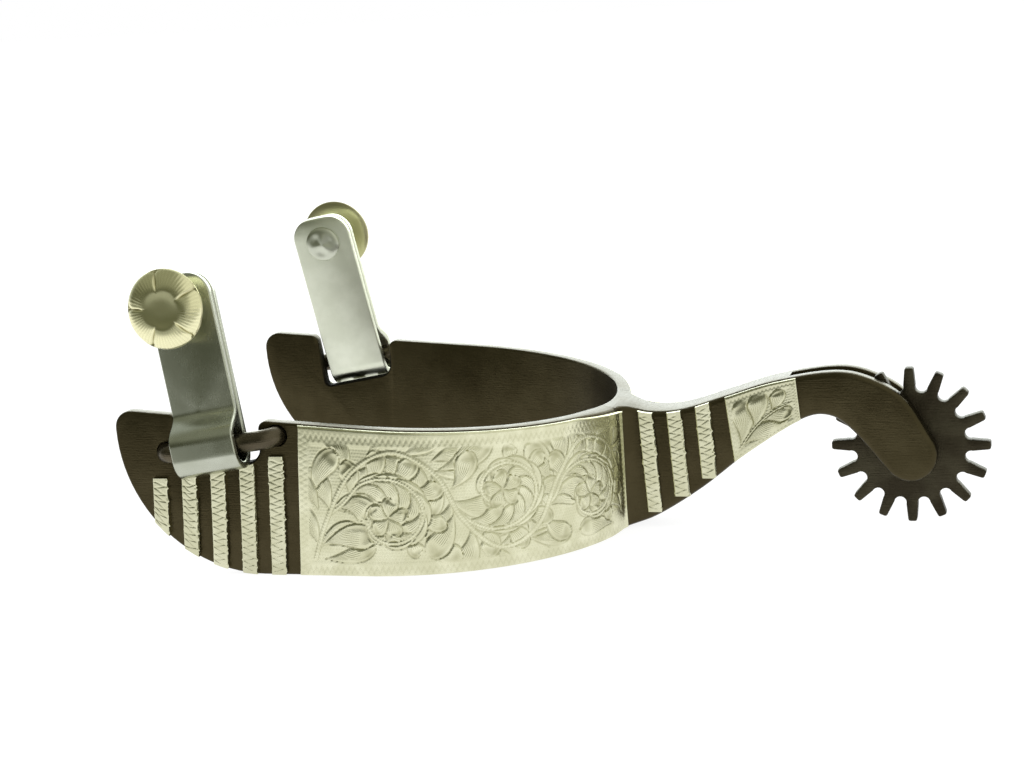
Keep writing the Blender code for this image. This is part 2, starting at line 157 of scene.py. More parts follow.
WHITE = rgba(1, 1, 1)
ROOM = rgba(0.105, 0.110, 0.068)
CEILING = rgba(0.30, 0.31, 0.23)
BACKDROP = rgba(0.94, 1.0, 0.97)
RIGHT_WALL = rgba(0.86, 0.87, 0.78)
ROOM_LIGHT = rgba(0.50, 0.50, 0.48)
BACKDROP_LIGHT = rgba(0.62, 0.62, 0.62)
world = bpy.data.worlds.new("studio")
scene.world = world
studio = Finish(world)
direction = studio.node("TexCoord")
right, back, up = [studio.axis(direction, number) for number in range(3)]
to_back = studio.steps(back - up * 0.10, -0.10, 0.60)
room = studio.mix(studio.steps(up, 0.10, 0.60), ROOM, CEILING)
mirrored = studio.mix(to_back, room, BACKDROP)
mirrored = studio.mix(studio.steps(right, 0.0, 0.40), mirrored, RIGHT_WALL)
shed = studio.mix(to_back, ROOM_LIGHT, BACKDROP_LIGHT)
sky = studio.mix(studio.ray("Is Glossy Ray"), shed, mirrored)
sky = studio.mix(studio.ray("Is Camera Ray"), sky, WHITE)
studio.node("OutputWorld", None, {"Surface": studio.node("Background", None, {"Color": sky})})

TABLE_HALF = 1.6
TABLE_FRONT = -0.50
TABLE_WHITE = rgba(0.90, 0.90, 0.90)
table_shape = bmesh.new()
bmesh.ops.create_grid(table_shape, x_segments=1, y_segments=1, size=TABLE_HALF)
bmesh.ops.translate(table_shape, verts=table_shape.verts, vec=(0, TABLE_HALF + TABLE_FRONT, 0))
table_mesh = bpy.data.meshes.new("floor")
table_shape.to_mesh(table_mesh)
table_shape.free()
floor = bpy.data.objects.new("floor", table_mesh)
scene.collection.objects.link(floor)
table = Finish(bpy.data.materials.new("white_table"))
place = table.node("TexCoord", output=3)
across, deep = [table.axis(place, number) for number in range(2)]
# Painted shade on the table: in reflections its glow falls from white to the room's colour toward the front.
in_light = table.steps(deep + across * 0.30, -0.21, -0.14)
seen = table.mix(table.ray("Is Camera Ray"), table.mix(in_light, ROOM, TABLE_WHITE), TABLE_WHITE)
glow = table.node("Emission", None, {"Color": seen})
faint = table.node("BsdfDiffuse", None, {"Color": rgba(0.22, 0.22, 0.22)})
shown = table.node("AddShader", None, {0: glow, 1: faint})
lit = table.node("BsdfDiffuse", None, {"Color": rgba(0.85, 0.85, 0.85)})
looked_at = table.ray("Is Camera Ray") + table.ray("Is Glossy Ray")
surface = table.node("MixShader", None, {0: looked_at, 1: lit, 2: shown})
table.node("OutputMaterial", None, {"Surface": surface})
table_mesh.materials.append(table.owner)


def soft_box(name, place, width, depth, power, mirrored):
    """A rectangular studio lamp turned to face the spur, which may or may not show in the metal."""
    lamp = bpy.data.lights.new(name, "AREA")
    lamp.shape = "RECTANGLE"
    lamp.size = width
    lamp.size_y = depth
    lamp.energy = power
    lamp.color = BACKDROP[:3]
    holder = bpy.data.objects.new(name, lamp)
    holder.location = place
    holder.rotation_euler = (Vector((0, 0, 0.02)) - Vector(place)).to_track_quat("-Z", "Y").to_euler()
    holder.visible_camera = False
    holder.visible_glossy = mirrored
    scene.collection.objects.link(holder)


soft_box("back_panel", (0.0, 0.95, 0.42), 1.9, 0.75, 12.0, True)
soft_box("top_panel", (-0.25, -0.1, 0.95), 0.8, 0.6, 5.0, False)
soft_box("left_fill", (-0.9, -0.6, 0.45), 0.5, 0.5, 3.0, False)


# Heel band and shank
# One forging of steel, filed smooth, browned, and rubbed bright where edges wear. The arms carry notches
# for the hangers and holes for the hinge rods, and the shank is slit for the rowel.
STEEL_BROWN = rgba(0.064, 0.052, 0.025)
STEEL_DEEP = rgba(0.050, 0.040, 0.018)
STEEL_PAINTED_SHADE = rgba(0.012, 0.010, 0.007)
SHARP = math.radians(38)
HEEL_CENTRE_X = -0.034
HEEL_DEPTH = 0.042
HALF_WIDTH = 0.040
BAND_THICKNESS = 0.003
OUTER_DEPTH = HEEL_DEPTH + BAND_THICKNESS
OUTER_WIDTH = HALF_WIDTH + BAND_THICKNESS
HALF_SHANK = 0.0048
ROOT_FILLET = 0.0045
HALF_SLOT = 0.0017
BAND_EDGE = 0.00048
SHANK_EDGE = 0.0012
SLOT_EDGE = 0.00026
ROD_RADIUS = 0.002
PIN_FIT = 0.0003
ARM_TOP = 0.0342
TOP_FALL = 0.0757
HEEL_DIP = 0.00067
DIP_START = 0.005
DIP_LENGTH = 0.006
NOTCH_REAR = -0.0548
NOTCH_FRONT = -0.0711
NOTCH_LEAN = 0.0016
NOTCH_DROPS = (0.0045, 0.0050)


def browned(name, brown, deep, roughness, grain):
    """Browned steel: slightly mottled, with fine filing marks, a satin gloss, and painted shade in its
    notches.
    """
    steel = Finish(bpy.data.materials.new(name))
    mottle = steel.noise(140, 5)
    filing = steel.noise(1.0, 3, (300, 300, 5200))
    specks = steel.noise(2600, 2)
    notch_shade = steel.on_points("notch_shade")
    colour = steel.mix(steel.steps(mottle, 0.36, 0.66), deep, brown)
    # Painted shade: points marked as lying in the hanger notches are darkened almost to black.
    colour = steel.mix(notch_shade, colour, STEEL_PAINTED_SHADE)
    gloss = roughness + (mottle - 0.5) * 0.12 + (filing - 0.5) * 0.10 + notch_shade * 0.4
    return steel.metal(colour, 0.92, gloss, filing + specks * 0.7, 0.30 * grain, 0.0002)


def placed(name, shape, paint, body, node):
    """Makes the finished mesh a piece that rides on a body and stands for its CAD node."""
    mesh = bpy.data.meshes.new(name)
    shape.to_mesh(mesh)
    shape.free()
    mesh.materials.append(paint)
    mesh.shade_smooth()
    mesh.set_sharp_from_angle(angle=SHARP)
    piece = bpy.data.objects.new(name, mesh)
    scene.collection.objects.link(piece)
    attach(piece, body)
    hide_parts(node)
    return piece


def ramp(value, start, length):
    """0 up to start, then rising to 1 over a length."""
    return np.clip((value - start) / length, 0, 1)


def running_length(points):
    """Length of a run of points from its start to each of them."""
    return np.concatenate([[0], np.cumsum(np.linalg.norm(np.diff(points, axis=0), axis=1))])


def point_at(length, run, points):
    """The place, or places, at a given length along a run of points."""
    return np.array([np.interp(length, run, points[:, k]) for k in range(2)])


def arc(centre, radius, first, last, count):
    """Points round a centre, from one angle in degrees to another."""
    angles = np.radians(np.linspace(first, last, count))
    return [(centre[0] + radius * math.cos(angle), centre[1] + radius * math.sin(angle)) for angle in angles]


def curve(points, count=160):
    """A smooth, evenly stepped run through a few points."""
    points = np.array(points, float)
    padded = np.vstack([2 * points[0] - points[1], points, 2 * points[-1] - points[-2]])
    t = np.linspace(0, 1, 24, endpoint=False)[:, None]
    pieces = []
    for a, b, c, d in zip(padded, padded[1:], padded[2:], padded[3:]):
        bowed = (2 * a - 5 * b + 4 * c - d) * t**2 + (3 * b - a - 3 * c + d) * t**3
        pieces.append(0.5 * (2 * b + (c - a) * t + bowed))
    run = np.vstack([*pieces, points[-1:]])
    lengths = running_length(run)
    return point_at(np.linspace(0, lengths[-1], count), lengths, run).T


def outlined(points, y):
    """A flat face cut to a closed outline of (x, z) points."""
    shape = bmesh.new()
    verts = [shape.verts.new((x, y, z)) for x, z in points]
    edges = [shape.edges.new(pair) for pair in zip(verts, verts[1:] + verts[:1])]
    bmesh.ops.contextual_create(shape, geom=edges)
    return shape


def thicken(shape, thickness):
    """Makes a flat face into a plate."""
    made = bmesh.ops.extrude_face_region(shape, geom=list(shape.faces), use_keep_orig=True)["geom"]
    verts = [item for item in made if isinstance(item, bmesh.types.BMVert)]
    bmesh.ops.translate(shape, verts=verts, vec=(0, thickness, 0))
    bmesh.ops.recalc_face_normals(shape, faces=shape.faces)


def eased(shape, width, segments, chosen):
    """Rounds the edges that a test chooses by their two ends."""
    edges = [edge for edge in shape.edges if chosen(*[vert.co for vert in edge.verts])]
    bmesh.ops.bevel(
        shape, geom=edges, offset=width, segments=segments, profile=0.5, affect="EDGES", material=-1
    )


def sliced(shape, spot, way, **cleared):
    """Cuts a shape along a plane, which may clear one side away."""
    everything = [*shape.verts, *shape.edges, *shape.faces]
    bmesh.ops.bisect_plane(shape, geom=everything, dist=1e-6, plane_co=spot, plane_no=way, **cleared)


def drawn_out(shape, edges):
    """Draws edges out into a wall that is still to be moved: its new points and its new rim."""
    made = bmesh.ops.extrude_edge_only(shape, edges=edges)["geom"]
    verts = [item for item in made if isinstance(item, bmesh.types.BMVert)]
    return verts, [item for item in made if isinstance(item, bmesh.types.BMEdge) and item.is_boundary]


FILL_SCALE = 1000
RING_TURN = 0.05


def filled_round(shape, face_y, rings):
    """Fills the flat side at face_y again, round the rings of edges that are bored through it."""
    flat = [face for face in shape.faces if abs(face.calc_center_median().y - face_y) < 1e-6]
    flat = max(flat, key=lambda face: face.calc_area())
    rim = list(flat.edges)
    bmesh.ops.delete(shape, geom=[flat], context="FACES_ONLY")
    # The fill takes points a few hundredths of a millimetre apart for one, so it is done at a larger scale.
    bmesh.ops.scale(shape, verts=shape.verts, vec=[FILL_SCALE] * 3)
    bmesh.ops.triangle_fill(shape, edges=rim + rings, use_beauty=True, use_dissolve=False, normal=(0, 1, 0))
    bmesh.ops.scale(shape, verts=shape.verts, vec=[1 / FILL_SCALE] * 3)


def bored(shape, x, z, radius, face_y, depth):
    """The wall of a round hole that runs in from the side at face_y, with its two rings of edges."""
    turn = Matrix.Translation((x, face_y, z)) @ Matrix.Rotation(math.pi / 2, 4, "X")
    # The ring is turned a little, because the fill goes wrong where two of its points are level.
    turn = turn @ Matrix.Rotation(RING_TURN, 4, "Z")
    ring = bmesh.ops.create_circle(shape, cap_ends=False, segments=42, radius=radius, matrix=turn)["verts"]
    mouth = list({edge for vert in ring for edge in vert.link_edges})
    verts, end = drawn_out(shape, mouth)
    bmesh.ops.translate(shape, verts=verts, vec=(0, depth, 0))
    return mouth, end


def rounded_corner(shape, corner, radius, segments):
    """Rounds one corner of a flat face to a radius."""
    vert = min(shape.verts, key=lambda vert: (vert.co - Vector((corner[0], 0, corner[1]))).length)
    ways = [(edge.other_vert(vert).co - vert.co).normalized() for edge in vert.link_edges]
    reach = radius / math.tan(ways[0].angle(ways[1]) / 2)
    bmesh.ops.bevel(
        shape, geom=[vert], offset=reach, segments=segments, profile=0.5, affect="VERTICES", material=-1
    )


joint_at = {joint["name"]: Vector(joint["pos_m"]) for joint in frame["record"]["behaviour"]["joints"]}
rod_low, rod_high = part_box("left_hinge_rod")
pin_low, pin_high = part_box("rowel_pin")
body_low, body_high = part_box("spur_body")
rowel_centre = joint_at["rowel_spin"]
front_hole = Vector((rod_low.x + ROD_RADIUS, 0, rod_low.z + ROD_RADIUS))
rear_hole = Vector((rod_high.x - ROD_RADIUS, 0, rod_high.z - ROD_RADIUS))
pin_radius = (pin_high.x - pin_low.x) / 2

turn_angle = np.linspace(0, math.pi / 2, 400)
heel_x = HEEL_CENTRE_X + OUTER_DEPTH * np.cos(turn_angle)
heel_y = OUTER_WIDTH * np.sin(turn_angle)
heel_run = running_length(np.column_stack([heel_x, heel_y]))


def run_of(x):
    """Length along the band's outer face from the middle of the heel to x."""
    return heel_run[-1] + HEEL_CENTRE_X - x if x < HEEL_CENTRE_X else np.interp(-x, -heel_x, heel_run)


def band_top(x):
    """Height of the band's upper edge, which falls to the heel and dips where the shank starts."""
    dip = ramp(x, DIP_START, DIP_LENGTH)
    return ARM_TOP - TOP_FALL * (x - body_low.x) - HEEL_DIP * dip * dip * (3 - 2 * dip)


rod_slope = (rear_hole.z - front_hole.z) / (rear_hole.x - front_hole.x)
notch_floor = []
for x, below in zip((NOTCH_REAR, NOTCH_FRONT), NOTCH_DROPS):
    notch_floor.append((x, front_hole.z + rod_slope * (x - front_hole.x) - below))
arm_corners = [
    (NOTCH_REAR, band_top(NOTCH_REAR), 0.0017), (*notch_floor[0], 0.0029), (*notch_floor[1], 0.0012),
    (NOTCH_FRONT - NOTCH_LEAN, band_top(NOTCH_FRONT), 0.0017),
    (body_low.x, band_top(body_low.x), 0.0035), (body_low.x, 0, 0.030),
]
join = math.asin((HALF_SHANK + ROOT_FILLET) / (OUTER_WIDTH + ROOT_FILLET))
shank_root = float(np.interp(join, turn_angle, heel_run))
root_x = HEEL_CENTRE_X + OUTER_DEPTH * math.cos(join)
fillet_x = HEEL_CENTRE_X + (OUTER_DEPTH + ROOT_FILLET) * math.cos(join)
half_top = []
for run in sorted([*heel_run[:380:16], shank_root]):
    half_top.append((float(run), float(band_top(np.interp(run, heel_run, heel_x)))))
half_arm = [(float(run_of(x)), float(z)) for x, z, _ in arm_corners]
half_bar = half_top + half_arm
unrolled = [(-run, z) for run, z in reversed(half_bar[1:])] + half_bar
band = outlined(unrolled, 0)
for (run, z), corner in zip(half_arm, arm_corners):
    radius = corner[2]
    for way in (-1, 1):
        rounded_corner(band, (way * run, z), radius, 24 if radius > 0.01 else 10)
thicken(band, BAND_THICKNESS)


def band_edge(a, b):
    """Edges round the bar's two faces, but not where the shank grows from the outer one."""
    on_face = abs(a.y - b.y) < 1e-6
    at_shank = a.y > BAND_THICKNESS / 2 and max(abs(a.x), abs(b.x)) < shank_root + 1e-4
    return on_face and not at_shank


eased(band, BAND_EDGE, 3, band_edge)
mouths = []
for hole in (front_hole, rear_hole):
    for way in (-1, 1):
        spot = way * run_of(hole.x)
        mouth, end = bored(band, spot, hole.z, ROD_RADIUS + PIN_FIT, BAND_THICKNESS, -0.6 * BAND_THICKNESS)
        bmesh.ops.contextual_create(band, geom=end)
        mouths += mouth
filled_round(band, BAND_THICKNESS, mouths)
for station in np.linspace(-heel_run[-1], heel_run[-1], 73):
    sliced(band, (station, 0, 0), (1, 0, 0))
# The walls inside the hanger notches are marked for painted shade.
notch_shade = band.verts.layers.float.new("notch_shade")
notch_ends = (run_of(NOTCH_REAR + 0.0013), run_of(NOTCH_FRONT - 0.0024))
for vert in band.verts:
    run, depth, z = vert.co
    away = abs(run)
    off_faces = 3e-5 < depth < BAND_THICKNESS - 3e-5
    if off_faces and notch_ends[0] < away < notch_ends[1] and 0.015 < z < 0.0272:
        vert[notch_shade] = 1.0
    angle = float(np.interp(away, heel_run, turn_angle))
    share = depth / BAND_THICKNESS
    beyond = max(away - heel_run[-1], 0)
    x = HEEL_CENTRE_X + (HEEL_DEPTH + share * BAND_THICKNESS) * math.cos(angle) - beyond
    y = (HALF_WIDTH + share * BAND_THICKNESS) * math.sin(angle)
    outer_x = HEEL_CENTRE_X + OUTER_DEPTH * math.cos(angle) - beyond
    vert.co = (x, math.copysign(y, run), z * band_top(x) / band_top(outer_x))


LOWER_EDGE = [(0.0060, 0.0), (0.0090, 0.0), (0.0162, 0.0018), (0.0266, 0.0080), (0.0371, 0.0160),
              (0.0471, 0.0223), (0.0530, 0.0238), (0.0581, 0.0209), (0.06569, 0.01176)]
UPPER_EDGE = [(0.07466, 0.01805), (0.0692, 0.0269), (0.0624, 0.0312), (0.0549, 0.0327), (0.0426, 0.0309),
              (0.0326, 0.0279), (0.0235, 0.0252), (0.0165, 0.0248), (0.0110, 0.0262), (0.0050, 0.02733)]
CHEEK_CENTRE = (0.0699, 0.0153)
CHEEK_RADIUS = 0.0055
ROOT_TRIM = 0.00005
ROOT_SINK = 0.00002
SLOT_POINT = Vector((0.0440, 0, 0.036))
SLOT_LINE = Vector((0.016, 0, 0.0065)).normalized()
lower = curve(LOWER_EDGE, 90)
upper = curve(UPPER_EDGE, 90)
cheek = arc(CHEEK_CENTRE, CHEEK_RADIUS, 220, 390, 30)
profile = [tuple(spot) for spot in lower[:-1]] + cheek + [tuple(spot) for spot in upper[1:]]


def shank_floor(x):
    return np.interp(x, lower[:, 0], lower[:, 1])


def shank_top(x):
    return np.interp(-x, -upper[:, 0], upper[:, 1])


def shank_part(low, high, front):
    """The shank's side view, cut at the slot, with the part before or behind the cut made solid."""
    shape = outlined(profile, low)
    sliced(shape, SLOT_POINT, SLOT_LINE, clear_outer=front, clear_inner=not front)
    sliced(shape, (root_x, 0, 0), (1, 0, 0), clear_inner=True)
    thicken(shape, high - low)
    return shape


def runs_along(a, b):
    """Edges of a flat side that are not on the cuts at the slot and at the root."""
    at_slot = max(abs((end - SLOT_POINT).dot(SLOT_LINE)) for end in (a, b)) < 1e-5
    at_root = max(abs(end.x - root_x) for end in (a, b)) < 1e-5
    return abs(a.y - b.y) < 1e-6 and not at_slot and not at_root


neck = shank_part(-HALF_SHANK, HALF_SHANK, True)
eased(neck, SHANK_EDGE, 5, runs_along)
sliced(neck, (root_x + ROOT_TRIM, 0, 0), (1, 0, 0), clear_inner=True)
bmesh.ops.contextual_create(neck, geom=[edge for edge in neck.edges if edge.is_boundary])
for station in np.linspace(root_x, fillet_x, 14)[1:]:
    sliced(neck, (station, 0, 0), (1, 0, 0))
for vert in neck.verts:
    x, y, z = vert.co
    if x > fillet_x:
        continue
    size = BAND_EDGE / SHANK_EDGE + (1 - BAND_EDGE / SHANK_EDGE) * (x - root_x) / (fillet_x - root_x)
    under_top = shank_top(x) - z < z - shank_floor(x)
    sunk = min(shank_top(x) - z, z - shank_floor(x))
    inset = HALF_SHANK - abs(y)
    if inset < 1.01 * SHANK_EDGE and sunk < 1.01 * SHANK_EDGE:
        inset *= size
        sunk *= size
    reach = 1 + inset / ROOT_FILLET
    sunk += ROOT_SINK if x < root_x + 1.2 * ROOT_TRIM else 0
    side_y = HALF_SHANK + ROOT_FILLET - reach * math.sqrt(ROOT_FILLET**2 - (fillet_x - x) ** 2)
    x = fillet_x - reach * (fillet_x - x)
    z = shank_top(x) - sunk if under_top else shank_floor(x) + sunk
    vert.co = (x, math.copysign(side_y, y), z)
for part in (band, neck):
    bmesh.ops.recalc_face_normals(part, faces=part.faces)
    if part.calc_volume(signed=True) < 0:
        bmesh.ops.reverse_faces(part, faces=part.faces)
body_mesh = bpy.data.meshes.new("steel_body_parts")
neck.to_mesh(body_mesh)
band.from_mesh(body_mesh)
for way in (-1, 1):
    fork = shank_part(way * HALF_SLOT, way * HALF_SHANK, False)
    eased(fork, SHANK_EDGE, 5, lambda a, b: runs_along(a, b) and abs(a.y) > HALF_SLOT + 1e-4)
    eased(fork, SLOT_EDGE, 2, lambda a, b: runs_along(a, b) and abs(a.y) < HALF_SLOT + 1e-6)
    fork.to_mesh(body_mesh)
    fork.free()
    band.from_mesh(body_mesh)
neck.free()
bpy.data.meshes.remove(body_mesh)
brown_steel = browned("browned_steel", STEEL_BROWN, STEEL_DEEP, 0.33, 1.0)
placed("steel_body", band, brown_steel, "frame", "spur_body")


# Rowel and pin
# The rowel is cut from flat plate with blunt teeth and left rougher and darker than the shank. It turns
# on a pin that is filed flush with both cheeks.
ROWEL_BROWN = rgba(0.056, 0.049, 0.030)
ROWEL_DEEP = rgba(0.033, 0.027, 0.016)
ROWEL_TEETH = 16
ROWEL_HALF = 0.0012
ROWEL_EDGE = 0.00028
GAP_CENTRE = 0.01232
GAP_RADIUS = 0.00126
PIN_RECESS = 0.00002
TOOTH = [(0.01234, -0.0012), (0.0155, -0.00092), (0.01586, -0.00080), (0.0160, -0.0005)]
gap = arc((GAP_CENTRE, 0), GAP_RADIUS, 180, 100, 5)
half_pitch = Matrix.Rotation(-math.pi / ROWEL_TEETH, 2)
half_tooth = [tuple(half_pitch @ Vector(spot)) for spot in gap] + TOOTH
sector = half_tooth + [(x, -y) for x, y in reversed(half_tooth)]
rowel_shape = bmesh.new()
spots = [rowel_shape.verts.new((x, -ROWEL_HALF, z)) for x, z in sector]
chain = [rowel_shape.edges.new(pair) for pair in zip(spots, spots[1:])]
bmesh.ops.spin(
    rowel_shape, geom=spots + chain, cent=(0, 0, 0), axis=(0, 1, 0), use_duplicate=True,
    angle=2 * math.pi * (ROWEL_TEETH - 1) / ROWEL_TEETH, steps=ROWEL_TEETH - 1,
)
bmesh.ops.remove_doubles(rowel_shape, verts=rowel_shape.verts, dist=1e-6)
bmesh.ops.contextual_create(rowel_shape, geom=list(rowel_shape.edges))
thicken(rowel_shape, 2 * ROWEL_HALF)
eased(rowel_shape, ROWEL_EDGE, 2, lambda a, b: abs(a.y - b.y) < 1e-6)
mouth, end = bored(rowel_shape, 0, 0, pin_radius + PIN_FIT, ROWEL_HALF, -2 * ROWEL_HALF)
filled_round(rowel_shape, ROWEL_HALF, mouth)
filled_round(rowel_shape, -ROWEL_HALF, end)
bmesh.ops.translate(rowel_shape, verts=rowel_shape.verts, vec=rowel_centre)
bmesh.ops.recalc_face_normals(rowel_shape, faces=rowel_shape.faces)
rowel_paint = browned("rowel_steel", ROWEL_BROWN, ROWEL_DEEP, 0.44, 2.0)
placed("toothed_rowel", rowel_shape, rowel_paint, "rowel", "rowel")
pin_shape = bmesh.new()
bmesh.ops.create_cone(
    pin_shape,
    cap_ends=True,
    segments=64,
    radius1=pin_radius,
    radius2=pin_radius,
    depth=2 * (HALF_SHANK - PIN_RECESS),
    matrix=Matrix.Translation(rowel_centre) @ Matrix.Rotation(math.pi / 2, 4, "X"),
)
placed("flush_pin", pin_shape, brown_steel, "frame", "rowel_pin")


# Hinge rods
# Each rod is a round steel bar with both ends bent square into holes in the arm, where they are peened and
# filed flush inside. The run between them is rubbed by the hanger.
ROD_BEND = 0.0028
PEENED_RADIUS = 0.0023
PEENED_LENGTH = 0.0010
INNER_FACE_Y = 0.04002
ROD_STEEL = rgba(0.105, 0.088, 0.058)
ROD_DEEP = rgba(0.060, 0.049, 0.030)
rod_paint = browned("rubbed_steel", ROD_STEEL, ROD_DEEP, 0.27, 1.0)
SIDES = (("left", -1), ("right", 1))


def bent_rod(first, last, out, stub):
    """A rod with its ends bent square: from first it runs out by a stub, along, and back in to last."""
    along = (last - first).normalized()
    slim = ROD_RADIUS / PEENED_RADIUS
    shape = bmesh.new()
    stand = Matrix.Translation(first) @ out.to_track_quat("Z", "Y").to_matrix().to_4x4()
    bmesh.ops.create_circle(shape, cap_ends=True, segments=32, radius=PEENED_RADIUS, matrix=stand)

    def run_on(edges, step):
        verts, rim = drawn_out(shape, edges)
        bmesh.ops.translate(shape, verts=verts, vec=step)
        return rim

    def swell(edges, centre, size):
        verts, rim = drawn_out(shape, edges)
        bmesh.ops.scale(shape, verts=verts, vec=(size, size, size), space=Matrix.Translation(-centre))
        return rim

    def bend(edges, centre):
        verts = list({vert for edge in edges for vert in edge.verts})
        made = bmesh.ops.spin(
            shape, geom=verts + edges, cent=centre, axis=out.cross(along), angle=math.pi / 2, steps=10
        )["geom_last"]
        return [item for item in made if isinstance(item, bmesh.types.BMEdge)]

    ring = [edge for edge in shape.edges if edge.is_boundary]
    ring = run_on(ring, out * PEENED_LENGTH)
    ring = swell(ring, first + out * PEENED_LENGTH, slim)
    ring = run_on(ring, out * (stub - PEENED_LENGTH))
    ring = bend(ring, first + out * stub + along * ROD_BEND)
    ring = run_on(ring, along * ((last - first).length - 2 * ROD_BEND))
    ring = bend(ring, last + out * stub - along * ROD_BEND)
    ring = run_on(ring, out * (PEENED_LENGTH - stub))
    ring = swell(ring, last + out * PEENED_LENGTH, 1 / slim)
    ring = run_on(ring, out * -PEENED_LENGTH)
    bmesh.ops.contextual_create(shape, geom=ring)
    bmesh.ops.recalc_face_normals(shape, faces=shape.faces)
    return shape


for side, sign in SIDES:
    low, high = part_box(side + "_hinge_rod")
    first = Vector((low.x + ROD_RADIUS, sign * INNER_FACE_Y, low.z + ROD_RADIUS))
    last = Vector((high.x - ROD_RADIUS, sign * INNER_FACE_Y, high.z - ROD_RADIUS))
    run_y = max(abs(low.y), abs(high.y)) - ROD_RADIUS
    shape = bent_rod(first, last, Vector((0, sign, 0)), run_y - INNER_FACE_Y - ROD_BEND)
    for face in shape.faces:
        face.material_index = int(len(face.verts) > 4)
    rod = placed(side + "_bent_rod", shape, rod_paint, "frame", side + "_hinge_rod")
    rod.data.materials.append(brown_steel)


# Hangers
# Each hanger is one strip of satin stainless folded round its rod, with softened edges. The two leaves
# lie together and are closed by the button's rivet.
STAINLESS = rgba(0.62, 0.64, 0.54)
STAINLESS_DULL = rgba(0.54, 0.56, 0.46)


def lightened(colour, share):
    return rgba(*[share * part for part in colour[:3]])


def satin(name, roughness, lightness=1.0):
    """Satin stainless with fine lengthwise brushing and faint handling marks."""
    steel = Finish(bpy.data.materials.new(name))
    brushed = steel.noise(1.0, 3, (5200, 5200, 260))
    cloud = steel.noise(180, 5)
    scratches = steel.noise(1.0, 2, (700, 700, 9000), (0, 0.5, 0))
    # For the two strips, lightness is painted light and shade, not a difference in the steel.
    dull = lightened(STAINLESS_DULL, lightness)
    colour = steel.mix(steel.steps(cloud, 0.35, 0.7), dull, lightened(STAINLESS, lightness))
    gloss = roughness + (cloud - 0.5) * 0.08 + (brushed - 0.5) * 0.08
    return steel.metal(colour, 1.0, gloss, brushed + scratches * 0.3, 0.05, 0.0001, 0.8)


STRIP_WIDTH = 0.0138
STRIP_THICKNESS = 0.0015
STRIP_EDGE = 0.0003
STRIP_TOP = 0.0352
STRIP_CORNER = 0.0048
FOLD_RADIUS = 0.00315
FOLD_DROP = 0.0014
OUTER_LEAF = -0.0014
JOGGLE = (0.0014, 0.0078)
NEARBY = 0.0002
REST_LEAN = math.radians(4.5)
REST_SLEW = math.radians(1.6)
rod_axis = (rear_hole - front_hole).normalized()


def hanger_place(side, sign):
    """The hanger's own frame: x along the rod, y out from the boot, z up the strip."""
    tilt = math.atan2(rod_axis.z, rod_axis.x) + REST_SLEW
    turn = Matrix.Rotation(-tilt, 4, "Y") @ Matrix.Rotation(sign * REST_LEAN, 4, "X")
    return Matrix.Translation(joint_at[side + "_hanger_swing"]) @ turn @ Matrix.Diagonal((1, sign, 1, 1))


def fold_line():
    """Middle of the strip as (out, up): down the inner leaf, round the rod and back up the outer leaf."""
    turn = np.linspace(math.pi, 2 * math.pi, 60)
    rise = np.linspace(0, 1, 50)
    ease = rise**3 * (10 - 15 * rise + 6 * rise * rise)
    fold = np.column_stack([FOLD_RADIUS * np.cos(turn), FOLD_RADIUS * np.sin(turn) - FOLD_DROP])
    joggle_out = FOLD_RADIUS + (OUTER_LEAF - FOLD_RADIUS) * ease
    joggle = np.column_stack([joggle_out, JOGGLE[0] + (JOGGLE[1] - JOGGLE[0]) * rise])
    points = np.vstack([[(-FOLD_RADIUS, STRIP_TOP)], fold, joggle, [(OUTER_LEAF, STRIP_TOP)]])
    return points, running_length(points)


def strip_rings():
    """Rounded cross-sections of the strip at stations along its fold, narrowing into its round corners."""
    points, run = fold_line()
    tip = STRIP_CORNER * (1 - np.cos(np.linspace(0, math.pi / 2, 24)))
    between = np.linspace(STRIP_CORNER, run[-1] - STRIP_CORNER, 190)[1:-1]
    stations = np.concatenate([tip, between, run[-1] - tip[::-1]])
    quarter = np.linspace(0, math.pi / 2, 4)
    rings = []
    for station in stations:
        here = point_at(station, run, points)
        ahead = point_at(station + NEARBY, run, points) - point_at(station - NEARBY, run, points)
        lengthwise = ahead / np.linalg.norm(ahead)
        through = np.array([-lengthwise[1], lengthwise[0]])
        to_end = min(station, run[-1] - station)
        corner = STRIP_CORNER - math.sqrt(STRIP_CORNER**2 - max(STRIP_CORNER - to_end, 0) ** 2)
        lip = STRIP_EDGE - math.sqrt(STRIP_EDGE**2 - max(STRIP_EDGE - to_end, 0) ** 2)
        half_width = STRIP_WIDTH / 2 - corner - lip - STRIP_EDGE
        half_depth = STRIP_THICKNESS / 2 - lip - STRIP_EDGE
        ring = []
        for k, (wide, deep) in enumerate(((1, 1), (-1, 1), (-1, -1), (1, -1))):
            for angle in quarter + k * math.pi / 2:
                spot = here + through * (deep * half_depth + STRIP_EDGE * math.sin(angle))
                ring.append((wide * half_width + STRIP_EDGE * math.cos(angle), spot[0], spot[1]))
        rings.append(ring)
    return rings


